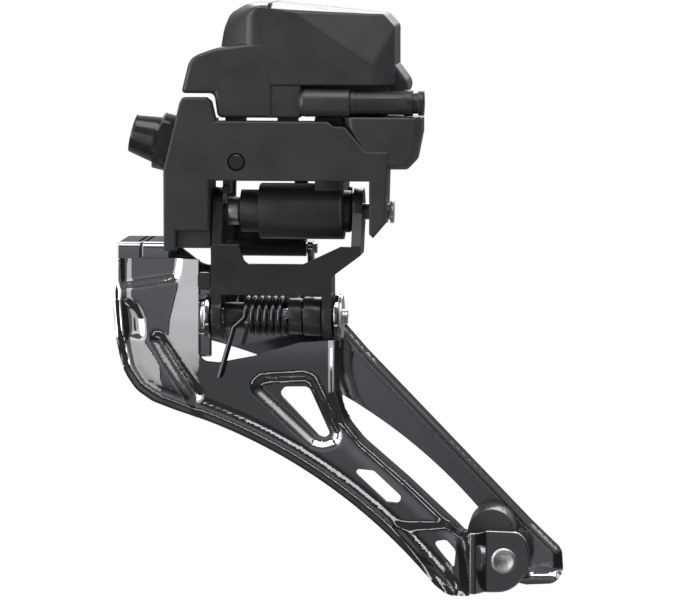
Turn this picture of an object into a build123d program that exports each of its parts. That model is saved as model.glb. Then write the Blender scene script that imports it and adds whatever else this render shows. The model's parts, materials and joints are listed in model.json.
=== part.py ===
"""Electrically driven front derailleur for a double chainset, braze-on fitting.

Frame: millimetres, +X to the rear of the bicycle, +Y outboard (away from the seat tube), +Z up.
The origin is the middle of the hollow seat that lies against the frame's hanger, on the fixing
bolt's axis. The cage stands at its inboard stop, over the small ring.
"""
import os
from math import acos, cos, pi, radians, sin, tan

from build123d import *

# ---- fixing bolt and hanger seat ------------------------------------------------------------
BOLT_TILT = 14.0            # the bolt's head points forward and up by this angle
BOLT_R = 2.45               # M5 shank, drawn smooth
BOLT_LENGTH = 11.0          # shank below the seat
BOLT_HEAD_R = (4.85, 3.85)  # cone: at the washer, at the outer face
BOLT_HEAD_H = 5.4
BOLT_KEY = 5.0              # hexagon key across flats
WASHER_R = 5.85
WASHER_T = 3.7
WASHER_FLAT = 4.7           # half width across its two flats
SEAT_R = 16.0               # hollow seat, curved about the line of the hanger's slot
SEAT_PROUD = 0.65           # the bracket's rim stands this far past the hollow
SCREW_GAP = 0.05            # radial clearance round a screw

# ---- four-bar linkage, as (y, z) --------------------------------------------------------------
PIVOT_UP_IN = (0.0, -13.3)
PIVOT_UP_OUT = (12.0, -0.7)
LINK_STEP = (-4.0, -20.7)   # from an upper pivot to its lower one
PIVOT_DOWN_IN = (PIVOT_UP_IN[0] + LINK_STEP[0], PIVOT_UP_IN[1] + LINK_STEP[1])
PIVOT_DOWN_OUT = (PIVOT_UP_OUT[0] + LINK_STEP[0], PIVOT_UP_OUT[1] + LINK_STEP[1])
SHAFT_R = 1.6
LOWER_PIN_R = 1.5
OUTER_PIN_R = 1.1
PIN_GAP = 0.05              # radial running clearance
OPEN_PIVOT_GAP = 0.1        # the outer link's lower eye
SIDE_GAP = 0.3              # between faces that slide past each other
SHOULDER_GAP = 0.4          # between the inner link and what stands beside it on its shafts

# ---- bracket -----------------------------------------------------------------------------------
BAR_FRONT = -8.0
BAR_BACK = -4.5
BAR_TOP = 5.0
BAR_UNDER = -6.8
LEG_RIGHT_X = (39.1, 42.6)
LEG_DEPTH = 4.6             # how far behind the shaft the two bearing legs reach
EAR_LEFT_X = (5.4, 7.3)
HEAD_BACK = 6.0             # outboard face of the block behind the seat
BUSH_WALL = 0.6
BRACKET_ROUND = 0.5
SUPPORT_AT = (12.8, -3.05)  # support bolt, as (x, z)
SUPPORT_R = 1.75
SUPPORT_LENGTH = 11.0
STROKE_SCREW_R = 0.6

# ---- inner link --------------------------------------------------------------------------------
LINK_EAR_R = 4.7
LINK_T = 1.9
LINK_LEFT_X = EAR_LEFT_X[1] + SHOULDER_GAP
LINK_LOWER_RIGHT_X = 29.8
STROKE_SCREW_AT = (LINK_LEFT_X + LINK_T + 0.8, -8.4)   # stroke limit screw, as (x, z)
WEB_FRONT = -8.2
WEB_T = 1.6
WEB_Z = (-29.4, -23.3)

# ---- outer link ----------------------------------------------------------------------------------
OUTER_LINK_X = (8.0, 25.2)
OUTER_LINK_ARM = 2.6
OUTER_EYE_R = 2.3
OUTER_LOW_EYE_R = 1.7
OUTER_WEB_T = 1.6
OUTER_EAR_X = ((4.6, OUTER_LINK_X[0] - SIDE_GAP), (OUTER_LINK_X[1] + 0.2, 27.1))
OUTER_EAR_R = 3.0

# ---- barrel, its gearbox neck and the gears ----------------------------------------------------------
BARREL_R = 5.6
BARREL_X = (16.7, 33.6)
BARREL_WALL = 0.6
NOSE_R = 4.25
NOSE_X = 13.0
TAIL_R = 4.2
TAIL_X = 35.3
LINK_UPPER_RIGHT_X = TAIL_X + SIDE_GAP
COLLAR_R = 2.85
COLLAR_X = (LINK_LEFT_X + LINK_T + 0.6, NOSE_X - 0.2)
NECK_X = (28.0, 33.6)
NECK_WALL = 0.7
NECK_TOP = 5.6              # where the neck meets the drive unit
MODULE = 0.4
PRESSURE = radians(25)
ADDENDUM = 0.8
DEDENDUM = 1.1
BACKLASH = 0.08
PINION_TEETH = 12
WHEEL_TEETH = 30
OUTPUT_TEETH = 30
GEAR_T = 1.0
STAGE_X = (28.9, 30.3, 31.7)   # left faces of the three gear planes
AXLE_R = 0.6
STAGE_LEAN = (65.0, 80.0, 90.0)   # direction of each step of the train, from +Y towards +Z

# ---- drive unit ----------------------------------------------------------------------------------------
UNIT_Y = (-6.6, 14.0)
UNIT_SEAM = 19.0
UNIT_WALL = 1.2
UNIT_FLOOR = NECK_TOP
GASKET_T = 0.5
UNIT_SCREW_R = 0.8
UNIT_SCREW_Z = 2.2          # tips of the two screws that hold the unit on the bracket
UNIT_SCREW_AT = ((12.2, -2.4), (22.6, -2.4))
PAD_R = 1.9
MOTOR_R = 3.9
MOTOR_X = (15.0, 29.5)
MOTOR_SHAFT_R = 0.5
BOARD_T = 0.9
PORT_AT = (-5.2, 8.6)
PORT_R = 2.45
PORT_BORE_R = 1.9
PORT_DEPTH = 4.4            # of the bore that takes the plug
CONTACT_R = 1.3             # narrower chamber behind it, where the contact pins stand
CONTACT_DEPTH = 2.6
PORT_X = (34.5, 49.8)
SOCKET_PIN = (0.25, 2.4, 1.4)   # contact pins: radius, length, pitch
HOLDER_BACK = -4.2
HOLDER_DEPTH = 3.6

# ---- cage sizes --------------------------------------------------------------------------------------
PLATE_T = 1.2
INNER_Y = -5.2
OUTER_Y = 9.0
INNER_ARC_R = 109.3
OUTER_ARC_R = 107.2
BRIDGE_TOP = -19.3
BRIDGE_X = (-11.2, -2.6)
BRIDGE_TAB_T = 1.5          # the bridge's two tabs, folded down over the inner plate
CAGE_EAR_LEFT_X = LINK_LEFT_X - SIDE_GAP - PLATE_T
CAGE_EAR_RIGHT_X = LINK_LOWER_RIGHT_X + LINK_T + SIDE_GAP
CAGE_EAR_R = 4.6
CAGE_LUG_X = CAGE_EAR_LEFT_X - 1.3   # left edge of the lugs that carry the left ear
TAIL_RIVET_AT = (65.8, -83.1)
TAIL_RIVET_R = 2.65
TAIL_TAB_Y = -1.0
TAIL_SPACER_R = 4.8
SPRING_WIRE_R = 0.56
SPRING_R = 3.4
SPRING_PITCH = 1.4
SPRING_TURNS = 5.5
SPRING_X = 14.6

os.makedirs("parts", exist_ok=True)

bolt_way = Vector(-cos(radians(BOLT_TILT)), 0, sin(radians(BOLT_TILT)))
bolt_plane = Plane(origin=(0, 0, 0), x_dir=(0, 1, 0), z_dir=bolt_way)


def wall(y):
    """The X-Z plane at depth y; extruding from it goes inboard, towards -Y."""
    return Plane.XZ.offset(-y)


def across(x):
    """The Y-Z plane at x; extruding from it goes rearwards, towards +X."""
    return Plane.YZ.offset(x)


def save(name, builder):
    builder.part.label = name
    export_step(builder.part, f"parts/{name}.step")


def rod(x0, x1, at, radius, mode=Mode.ADD):
    """A round bar, or a bore, along X between x0 and x1 about the (y, z) point at."""
    with Locations((x0, *at)):
        Cylinder(radius, x1 - x0, rotation=(0, 90, 0), align=(Align.CENTER, Align.CENTER, Align.MIN),
                 mode=mode)


def tube(x0, x1, at, outer, inner):
    rod(x0, x1, at, outer)
    rod(x0, x1, at, inner, Mode.SUBTRACT)


def outline(points):
    Polygon(*points, align=None)


def box_between(low, high, mode=Mode.ADD):
    with Locations(tuple((a + b) / 2 for a, b in zip(low, high))):
        Box(*[b - a for a, b in zip(low, high)], mode=mode)


def upright_bores(low, high):
    """Bores for the two unit screws."""
    for at in UNIT_SCREW_AT:
        with Locations((*at, low)):
            Cylinder(UNIT_SCREW_R, high - low, align=(Align.CENTER, Align.CENTER, Align.MIN),
                     mode=Mode.SUBTRACT)


# ---- bracket and what is screwed to it ---------------------------------------------------------
def seat_edge(z, proud=SEAT_PROUD):
    """x of the bracket's sloping front edge at height z."""
    return (z * sin(radians(BOLT_TILT)) - proud) / cos(radians(BOLT_TILT))


def bracket_face():
    leg_x = seat_edge(-4.5)
    return [
        (leg_x, -20.8), (0.7, -20.8), (0.7, -16.8), (EAR_LEFT_X[1], -16.8),
        (EAR_LEFT_X[1], BAR_UNDER), (LEG_RIGHT_X[0], BAR_UNDER), (LEG_RIGHT_X[0], -17.2),
        (39.9, -18.0), (42.3, -15.2), (42.9, -0.9), (38.5, -0.9), (34.3, 4.0), (32.0, 4.1),
        (30.9, BAR_TOP), (8.6, BAR_TOP), (7.7, 8.8), (6.7, 9.6), (seat_edge(9.6) + 0.3, 9.6),
        (seat_edge(8.6), 8.6), (leg_x, -4.5),
    ]


def make_bracket():
    bore = SHAFT_R + PIN_GAP + BUSH_WALL
    with BuildPart() as bracket:
        with BuildSketch(wall(BAR_BACK)):
            outline(bracket_face())
        extrude(amount=BAR_BACK - BAR_FRONT)
        front = bracket.faces().sort_by(Axis.Y)[0]
        fillet(front.edges(), BRACKET_ROUND)
        # head block behind the seat
        with BuildSketch(wall(HEAD_BACK)):
            outline([(seat_edge(-4.5), BAR_UNDER), (seat_edge(-4.5), -4.5), (seat_edge(BAR_TOP), BAR_TOP),
                     (OUTER_EAR_X[0][1], BAR_TOP), (OUTER_EAR_X[0][1], BAR_UNDER)])
        extrude(amount=HEAD_BACK - BAR_BACK)
        # left bearing ear, with the foot below it
        with BuildSketch(across(EAR_LEFT_X[0])):
            outline([(BAR_BACK, BAR_UNDER + 1), (BAR_BACK, -17.5), (2.0, -17.5), (4.4, -15.5),
                     (4.4, BAR_UNDER + 1)])
        extrude(amount=EAR_LEFT_X[1] - EAR_LEFT_X[0])
        with BuildSketch(wall(-2.0)):
            outline([(0.9, -20.3), (EAR_LEFT_X[1], -20.3), (EAR_LEFT_X[1], -16.0), (0.9, -16.0)])
        extrude(amount=4.6)
        # right bearing leg
        with BuildSketch(wall(LEG_DEPTH)):
            outline([(LEG_RIGHT_X[0], -17.0), (40.0, -17.8), (LEG_RIGHT_X[1] - 0.4, -15.2),
                     (LEG_RIGHT_X[1], -1.4), (LEG_RIGHT_X[0], -1.4)])
        extrude(amount=LEG_DEPTH - BAR_BACK)
        # ears of the outer link
        for x0, x1 in OUTER_EAR_X:
            with BuildSketch(across(x0)):
                outline([(BAR_BACK - 0.5, 3.4), (BAR_BACK - 0.5, -4.4), (PIVOT_UP_OUT[0], -3.7),
                         (PIVOT_UP_OUT[0], 2.3), (4.0, 3.4)])
                with Locations(PIVOT_UP_OUT):
                    Circle(OUTER_EAR_R)
            extrude(amount=x1 - x0)
        # support bolt's boss
        with BuildSketch(wall(0.0)):
            with Locations(SUPPORT_AT):
                Circle(SUPPORT_R + 1.4)
        extrude(amount=-BAR_BACK)
        # pads that the drive unit stands on
        for x, y in UNIT_SCREW_AT:
            box_between((x - PAD_R, BAR_BACK - 0.5, UNIT_SCREW_Z - 0.7),
                        (x + PAD_R, y + PAD_R, UNIT_FLOOR))
        upright_bores(UNIT_SCREW_Z, UNIT_FLOOR + 1)
        # lug of the stroke screw, under the bar
        lug_x, lug_z = STROKE_SCREW_AT
        box_between((lug_x - 0.6, -4.6, lug_z - 1.1), (lug_x + 0.9, -1.5, BAR_UNDER + 0.5))
        # seat, threads and bores
        with BuildSketch(Plane(origin=bolt_way * SEAT_R, x_dir=(0, 1, 0), z_dir=bolt_plane.y_dir)):
            Circle(SEAT_R)
        extrude(amount=20, both=True, mode=Mode.SUBTRACT)
        with BuildSketch(bolt_plane.offset(2.0)):
            Circle(BOLT_R + SCREW_GAP)
        extrude(amount=-(BOLT_LENGTH + 3.0), mode=Mode.SUBTRACT)
        with BuildSketch(wall(1.0)):
            with Locations(SUPPORT_AT):
                Circle(SUPPORT_R + SCREW_GAP)
        extrude(amount=1.0 - BAR_FRONT + 1.0, mode=Mode.SUBTRACT)
        with BuildSketch(wall(0)):
            with Locations(STROKE_SCREW_AT):
                Circle(STROKE_SCREW_R + 0.03)
        extrude(amount=6, mode=Mode.SUBTRACT)
        rod(EAR_LEFT_X[0] - 1, EAR_LEFT_X[1] + 1, PIVOT_UP_IN, bore, Mode.SUBTRACT)
        rod(LEG_RIGHT_X[0] - 1, LEG_RIGHT_X[1] + 1, PIVOT_UP_IN, bore, Mode.SUBTRACT)
        rod(OUTER_EAR_X[0][0] - 1, OUTER_EAR_X[1][1] + 1, PIVOT_UP_OUT, OUTER_PIN_R, Mode.SUBTRACT)
    return bracket


def make_fixing_bolt():
    with BuildPart() as bolt:
        with BuildSketch(bolt_plane.offset(-BOLT_LENGTH)):
            Circle(BOLT_R)
        extrude(amount=BOLT_LENGTH + WASHER_T)
        with BuildSketch(bolt_plane.offset(WASHER_T)):
            Circle(BOLT_HEAD_R[0])
        with BuildSketch(bolt_plane.offset(WASHER_T + BOLT_HEAD_H)):
            Circle(BOLT_HEAD_R[1])
        loft()
        rim = bolt.faces().sort_by(SortBy.DISTANCE)[-1]
        fillet(rim.edges(), 0.35)
        with BuildSketch(bolt_plane.offset(WASHER_T + BOLT_HEAD_H)):
            RegularPolygon(BOLT_KEY / 2, 6, major_radius=False)
        extrude(amount=-3.2, mode=Mode.SUBTRACT)
    return bolt


def make_radius_washer():
    with BuildPart() as washer:
        with BuildSketch(bolt_plane):
            Circle(WASHER_R)
            Rectangle(2 * WASHER_FLAT, 4 * WASHER_R, mode=Mode.INTERSECT)
        extrude(amount=WASHER_T)
        with BuildSketch(Plane(origin=bolt_way * SEAT_R, x_dir=(0, 1, 0), z_dir=bolt_plane.y_dir)):
            Circle(SEAT_R - 0.03)
        extrude(amount=20, both=True, mode=Mode.INTERSECT)
        outer = washer.faces().sort_by(SortBy.DISTANCE)[-1]
        chamfer(outer.edges(), 0.5)
        with BuildSketch(bolt_plane.offset(-1)):
            Circle(BOLT_R + SCREW_GAP)
        extrude(amount=WASHER_T + 2, mode=Mode.SUBTRACT)
    return washer


def make_support_bolt():
    with BuildPart() as bolt:
        with BuildSketch(wall(BAR_FRONT + SUPPORT_LENGTH)):
            with Locations(SUPPORT_AT):
                Circle(SUPPORT_R)
        extrude(amount=SUPPORT_LENGTH)
        chamfer(bolt.faces().sort_by(Axis.Y)[0].edges(), 0.45)
        with BuildSketch(wall(BAR_FRONT + SUPPORT_LENGTH)):
            with Locations(SUPPORT_AT):
                RegularPolygon(1.0, 6, major_radius=False)
        extrude(amount=3.0, mode=Mode.SUBTRACT)
    return bolt


def make_stroke_screw():
    with BuildPart() as screw:
        with BuildSketch(wall(0.5)):
            with Locations(STROKE_SCREW_AT):
                Circle(STROKE_SCREW_R)
        extrude(amount=5.6)
        chamfer(screw.faces().sort_by(Axis.Y)[0].edges(), 0.15)
    return screw


def make_shaft_bushes():
    """The two plain bushes that carry the output shaft in the bracket."""
    with BuildPart() as bushes:
        inner = SHAFT_R + PIN_GAP
        tube(EAR_LEFT_X[0], EAR_LEFT_X[1], PIVOT_UP_IN, inner + BUSH_WALL, inner)
        tube(LEG_RIGHT_X[0], LEG_RIGHT_X[1] - 0.3, PIVOT_UP_IN, inner + BUSH_WALL, inner)
    return bushes


def make_outer_pin():
    with BuildPart() as pin:
        rod(OUTER_EAR_X[0][0] - 0.6, OUTER_EAR_X[1][1] + 0.6, PIVOT_UP_OUT, OUTER_PIN_R)
        for x in (OUTER_EAR_X[0][0] - 0.6, OUTER_EAR_X[1][1]):
            rod(x, x + 0.6, PIVOT_UP_OUT, OUTER_PIN_R + 0.7)
    return pin


# ---- barrel and gearbox ------------------------------------------------------------------------
def step_to(point, lean, distance):
    return (point[0] + distance * cos(radians(lean)), point[1] + distance * sin(radians(lean)))


def centre_distance(one, other):
    return MODULE * (one + other) / 2


wheel_2_at = step_to(PIVOT_UP_IN, STAGE_LEAN[0], centre_distance(OUTPUT_TEETH, PINION_TEETH))
wheel_1_at = step_to(wheel_2_at, STAGE_LEAN[1], centre_distance(WHEEL_TEETH, PINION_TEETH))
motor_at = step_to(wheel_1_at, STAGE_LEAN[2], centre_distance(WHEEL_TEETH, PINION_TEETH))
wheel_room = MODULE * (WHEEL_TEETH / 2 + ADDENDUM) + 0.4


def gear_points(teeth, turn):
    """Outline of an involute gear whose first tooth points turn degrees from +Y towards +Z."""
    pitch_r = MODULE * teeth / 2
    base_r = pitch_r * cos(PRESSURE)
    tip_r = pitch_r + ADDENDUM * MODULE
    root_r = pitch_r - DEDENDUM * MODULE
    foot_r = max(base_r, root_r + 0.02)
    half = pi / (2 * teeth) - BACKLASH / (2 * pitch_r) + tan(PRESSURE) - PRESSURE
    steps = 3
    flank = []
    for i in range(steps + 1):
        r = foot_r + (tip_r - foot_r) * i / steps
        slope = acos(min(1.0, base_r / r))
        flank.append((r, half - (tan(slope) - slope)))
    side = [(root_r, flank[0][1])] + flank
    tooth = [(r, -a) for r, a in side] + [(r, a) for r, a in reversed(side)]
    points = []
    for k in range(teeth):
        middle = radians(turn) + 2 * pi * k / teeth
        points += [(r * cos(middle + a), r * sin(middle + a)) for r, a in tooth]
    return points


def mesh_turn(turn, teeth, lean, other_teeth):
    """Turn of the next gear, lean degrees away, so that its gap meets this gear's tooth."""
    return lean + 180 - (turn - lean) * teeth / other_teeth + 180 / other_teeth


def gear_face(x, at, teeth, turn, bore):
    with BuildSketch(across(x)) as face:
        outline([(at[0] + p, at[1] + q) for p, q in gear_points(teeth, turn)])
        with Locations(at):
            Circle(bore, mode=Mode.SUBTRACT)
    return face.sketch


output_turn = 0.0
turn_2 = mesh_turn(output_turn, OUTPUT_TEETH, STAGE_LEAN[0], PINION_TEETH)
turn_1 = mesh_turn(turn_2, WHEEL_TEETH, STAGE_LEAN[1], PINION_TEETH)
turn_0 = mesh_turn(turn_1, WHEEL_TEETH, STAGE_LEAN[2], PINION_TEETH)


SECTOR = (12.0, 92.0)       # the output gear keeps only the teeth between these directions
SECTOR_HUB_R = 3.2


def make_output_gear():
    """A toothed sector on a round hub, keyed to the output shaft."""
    reach = 20.0
    with BuildPart() as wheel:
        extrude(gear_face(STAGE_X[0], PIVOT_UP_IN, OUTPUT_TEETH, output_turn, SHAFT_R), amount=GEAR_T)
        with BuildSketch(across(STAGE_X[0])):
            leans = (SECTOR[0], sum(SECTOR) / 2, SECTOR[1])
            corners = [step_to(PIVOT_UP_IN, lean, reach) for lean in leans]
            Polygon(PIVOT_UP_IN, *corners, align=None)
            with Locations(PIVOT_UP_IN):
                Circle(SECTOR_HUB_R)
        extrude(amount=GEAR_T, mode=Mode.INTERSECT)
    return wheel


def make_compound(x_pinion, x_wheel, at, turn):
    with BuildPart() as compound:
        extrude(gear_face(x_pinion, at, PINION_TEETH, turn, AXLE_R + PIN_GAP), amount=GEAR_T)
        tube(x_pinion + GEAR_T, x_wheel, at, 1.6, AXLE_R + PIN_GAP)
        extrude(gear_face(x_wheel, at, WHEEL_TEETH, turn, AXLE_R + PIN_GAP), amount=GEAR_T)
    return compound


def make_gear_axles():
    with BuildPart() as axles:
        for at in (wheel_2_at, wheel_1_at):
            rod(NECK_X[0] + 0.2, NECK_X[1] - NECK_WALL, at, AXLE_R)
    return axles


neck_y = (wheel_2_at[0] - wheel_room - NECK_WALL, wheel_1_at[0] + wheel_room + NECK_WALL)
neck_bottom = wheel_2_at[1] - wheel_room - NECK_WALL
cover_screw_at = ((neck_y[1] - 2.2, neck_bottom + 3.0), (neck_y[0] + 1.2, NECK_TOP - 1.2))
COVER_SCREW_R = 0.5


def neck_section(inset):
    """Neck seen along X: round below, cut level where the drive unit sits on it."""
    width = neck_y[1] - neck_y[0] - 2 * inset
    height = 2 * (NECK_TOP - neck_bottom)
    with Locations(((neck_y[0] + neck_y[1]) / 2, neck_bottom + inset + height / 2)):
        RectangleRounded(width, height, 6.0 - inset)
    with Locations((0, NECK_TOP + 50)):
        Rectangle(100, 100, mode=Mode.SUBTRACT)


def make_output_housing():
    face_x = NECK_X[1] - NECK_WALL
    with BuildPart() as housing:
        rod(BARREL_X[0], face_x, PIVOT_UP_IN, BARREL_R)
        chamfer(housing.edges().filter_by(GeomType.CIRCLE).sort_by(Axis.X)[0], 0.3)
        with BuildSketch(across(NECK_X[0])):
            neck_section(0)
        extrude(amount=face_x - NECK_X[0])
        rod(NOSE_X, BARREL_X[0], PIVOT_UP_IN, NOSE_R)
        with BuildSketch(across(NECK_X[0] + NECK_WALL)):
            neck_section(NECK_WALL)
            with Locations(*cover_screw_at):
                Circle(COVER_SCREW_R + 0.6, mode=Mode.SUBTRACT)
        extrude(amount=face_x - NECK_X[0], mode=Mode.SUBTRACT)
        rod(NOSE_X - 1, BARREL_X[1], PIVOT_UP_IN, SHAFT_R + PIN_GAP + BUSH_WALL, Mode.SUBTRACT)
        rod(BARREL_X[0] + BARREL_WALL, BARREL_X[1], PIVOT_UP_IN, BARREL_R - BARREL_WALL, Mode.SUBTRACT)
        for at in (wheel_2_at, wheel_1_at):
            rod(NECK_X[0] + 0.2, NECK_X[1], at, AXLE_R, Mode.SUBTRACT)
        for at in cover_screw_at:
            rod(face_x - 2.5, face_x + 1, at, COVER_SCREW_R, Mode.SUBTRACT)
    return housing


def make_gearbox_cover():
    face_x = NECK_X[1] - NECK_WALL
    with BuildPart() as cover:
        with BuildSketch(across(face_x)):
            neck_section(0)
            with Locations(PIVOT_UP_IN):
                Circle(BARREL_R)
        extrude(amount=NECK_WALL)
        rod(BARREL_X[1], TAIL_X, PIVOT_UP_IN, TAIL_R)
        chamfer(cover.faces().sort_by(Axis.X)[-1].edges(), 0.5)
        rod(face_x - 1, TAIL_X + 1, PIVOT_UP_IN, SHAFT_R + PIN_GAP + BUSH_WALL, Mode.SUBTRACT)
        for at in cover_screw_at:
            rod(face_x - 1, TAIL_X, at, COVER_SCREW_R, Mode.SUBTRACT)
    return cover


def make_cover_screws():
    with BuildPart() as screws:
        for at in cover_screw_at:
            rod(NECK_X[1] - NECK_WALL - 2.3, NECK_X[1], at, COVER_SCREW_R)
            rod(NECK_X[1], NECK_X[1] + 0.7, at, COVER_SCREW_R + 0.5)
    return screws


def make_barrel_bushes():
    with BuildPart() as bushes:
        inner = SHAFT_R + PIN_GAP
        tube(NOSE_X + 1.2, BARREL_X[0] + BARREL_WALL, PIVOT_UP_IN, inner + BUSH_WALL, inner)
        tube(NECK_X[1] - NECK_WALL, TAIL_X, PIVOT_UP_IN, inner + BUSH_WALL, inner)
    return bushes


def make_shaft_seal():
    with BuildPart() as seal:
        tube(NOSE_X, NOSE_X + 1.0, PIVOT_UP_IN, SHAFT_R + PIN_GAP + BUSH_WALL, SHAFT_R + 0.03)
    return seal


def make_output_shaft():
    with BuildPart() as shaft:
        rod(EAR_LEFT_X[0], LEG_RIGHT_X[1] + 0.2, PIVOT_UP_IN, SHAFT_R)
        rod(LEG_RIGHT_X[1] + 0.2, LEG_RIGHT_X[1] + 0.9, PIVOT_UP_IN, SHAFT_R + 0.7)
    return shaft


def make_output_collar():
    with BuildPart() as collar:
        tube(*COLLAR_X, PIVOT_UP_IN, COLLAR_R, SHAFT_R)
        chamfer(collar.edges().filter_by(GeomType.CIRCLE).group_by(SortBy.RADIUS)[-1], 0.3)
    return collar


MAGNET_X = (24.0, 26.0)


def make_sensor_magnet():
    with BuildPart() as magnet:
        tube(*MAGNET_X, PIVOT_UP_IN, 3.0, SHAFT_R)
    return magnet


def make_position_sensor():
    with BuildPart() as sensor:
        with Locations(((MAGNET_X[0] + MAGNET_X[1]) / 2, 0, PIVOT_UP_IN[1] + 3.9)):
            Box(MAGNET_X[1] - MAGNET_X[0], 3.0, 1.0)
    return sensor


# ---- drive unit ----------------------------------------------------------------------------------
def unit_profile():
    return [(14.6, 28.3), (19.0, 28.3), (34.7, 26.5), (41.6, 26.0), (43.7, 23.6), (43.8, 16.0),
            (46.3, 12.4), (46.3, 10.9), (42.0, UNIT_FLOOR), (8.9, UNIT_FLOOR), (8.2, 10.4),
            (1.6, 10.4), (3.2, 16.8), (4.6, 18.0), (8.6, 19.4), (9.6, 23.0), (10.9, 26.1)]


def port_recess_box(slack):
    """Room beside the case for the cable socket."""
    return ((35.3, UNIT_Y[0] - 3, UNIT_FLOOR - 1), (52, PORT_AT[0] + PORT_R + slack, PORT_AT[1] + 2.9))


def unit_face(y, inset=0.0):
    """Outline of the drive unit at depth y, drawn inset by a wall's thickness for the hollow."""
    with BuildSketch(wall(y)) as face:
        outline(unit_profile())
        if inset:
            offset(amount=-inset, kind=Kind.INTERSECTION, mode=Mode.REPLACE)
    return face.sketch


UNIT_ROUND = 1.2


def make_left_cover():
    with BuildPart() as cover:
        extrude(unit_face(UNIT_Y[1]), amount=UNIT_Y[1] - UNIT_Y[0])
        fillet(cover.faces().sort_by(Axis.Y)[0].edges(), UNIT_ROUND)
        fillet(cover.faces().sort_by(Axis.Y)[-1].edges(), UNIT_ROUND)
        extrude(unit_face(UNIT_Y[1] - UNIT_WALL, UNIT_WALL), amount=UNIT_Y[1] - UNIT_Y[0] - 2 * UNIT_WALL,
                mode=Mode.SUBTRACT)
        split(bisect_by=Plane.YZ.offset(UNIT_SEAM), keep=Keep.BOTTOM)
        upright_bores(UNIT_FLOOR - 1, UNIT_FLOOR + UNIT_WALL)
    return cover


def make_motor_case():
    with BuildPart() as case:
        extrude(unit_face(UNIT_Y[1]), amount=UNIT_Y[1] - UNIT_Y[0])
        fillet(case.faces().sort_by(Axis.Y)[0].edges(), UNIT_ROUND)
        fillet(case.faces().sort_by(Axis.Y)[-1].edges(), UNIT_ROUND)
        extrude(unit_face(UNIT_Y[1] - UNIT_WALL, UNIT_WALL), amount=UNIT_Y[1] - UNIT_Y[0] - 2 * UNIT_WALL,
                mode=Mode.SUBTRACT)
        split(bisect_by=Plane.YZ.offset(UNIT_SEAM + GASKET_T), keep=Keep.TOP)
        # walls of the recess beside the cable socket, then the recess itself
        low, high = port_recess_box(0.1)
        box_between((low[0] - UNIT_WALL, UNIT_Y[0] + 0.5, UNIT_FLOOR),
                    (42.0, high[1] + UNIT_WALL, high[2] + UNIT_WALL))
        box_between(low, high, Mode.SUBTRACT)
        # round housing in front of the socket's root
        rod(25.6, low[0], PORT_AT, PORT_R + 0.4)
        rod(low[0] - 4.0, low[0] + 1, PORT_AT, PORT_R, Mode.SUBTRACT)
        upright_bores(UNIT_FLOOR - 1, UNIT_FLOOR + UNIT_WALL)
        # way down into the gearbox neck
        box_between((NECK_X[0] + NECK_WALL, neck_y[0] + NECK_WALL + 0.5, UNIT_FLOOR - 1),
                    (NECK_X[1] - NECK_WALL, neck_y[1] - NECK_WALL - 0.5, UNIT_FLOOR + UNIT_WALL + 0.1),
                    Mode.SUBTRACT)
    return case


def make_unit_gasket():
    with BuildPart() as gasket:
        extrude(unit_face(UNIT_Y[1]), amount=UNIT_Y[1] - UNIT_Y[0])
        extrude(unit_face(UNIT_Y[1] - UNIT_WALL, UNIT_WALL), amount=UNIT_Y[1] - UNIT_Y[0] - 2 * UNIT_WALL,
                mode=Mode.SUBTRACT)
        split(bisect_by=Plane.YZ.offset(UNIT_SEAM), keep=Keep.TOP)
        split(bisect_by=Plane.YZ.offset(UNIT_SEAM + GASKET_T), keep=Keep.BOTTOM)
    return gasket


def make_motor_can():
    with BuildPart() as can:
        rod(*MOTOR_X, motor_at, MOTOR_R)
        fillet(can.edges().filter_by(GeomType.CIRCLE), 0.5)
        rod(MOTOR_X[1], MOTOR_X[1] + 0.8, motor_at, 1.5)
        rod(MOTOR_X[0] + 4, MOTOR_X[1] + 2, motor_at, MOTOR_SHAFT_R + PIN_GAP, Mode.SUBTRACT)
    return can


def make_motor_mount():
    """Cradle that holds the motor above the case floor."""
    with BuildPart() as mount:
        for x in (MOTOR_X[0] + 6.5, MOTOR_X[1] - 3.5):
            with BuildSketch(across(x)):
                with Locations((motor_at[0], UNIT_FLOOR + UNIT_WALL + 2.0)):
                    Rectangle(2 * MOTOR_R + 2, 4.0)
                with Locations(motor_at):
                    Circle(MOTOR_R, mode=Mode.SUBTRACT)
            extrude(amount=2.0)
    return mount


def make_motor_pinion():
    with BuildPart() as pinion:
        extrude(gear_face(STAGE_X[2], motor_at, PINION_TEETH, turn_0, MOTOR_SHAFT_R / 2), amount=GEAR_T)
        rod(MOTOR_X[0] + 4.2, STAGE_X[2] + GEAR_T, motor_at, MOTOR_SHAFT_R)
    return pinion


BOARD_Z = 17.0


def make_circuit_board():
    with BuildPart() as board:
        box_between((21.5, -4.0, BOARD_Z), (41.5, 11.5, BOARD_Z + BOARD_T))
    return board


def make_board_parts():
    with BuildPart() as chips:
        for x, y, w, d in ((26, 2, 5, 5), (34, 6, 4, 4), (33, -1, 3, 2), (38, 1, 2, 3)):
            box_between((x - w / 2, y - d / 2, BOARD_Z + BOARD_T),
                        (x + w / 2, y + d / 2, BOARD_Z + BOARD_T + 1))
    return chips


def make_unit_screws():
    """Two screws that hold the drive unit's floor down on the bracket."""
    with BuildPart() as screws:
        for at in UNIT_SCREW_AT:
            with BuildSketch(Plane.XY.offset(UNIT_SCREW_Z)):
                with Locations(at):
                    Circle(UNIT_SCREW_R)
            extrude(amount=UNIT_FLOOR + UNIT_WALL - UNIT_SCREW_Z)
            with BuildSketch(Plane.XY.offset(UNIT_FLOOR + UNIT_WALL)):
                with Locations(at):
                    Circle(UNIT_SCREW_R + 0.7)
            extrude(amount=0.9)
    return screws


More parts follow.
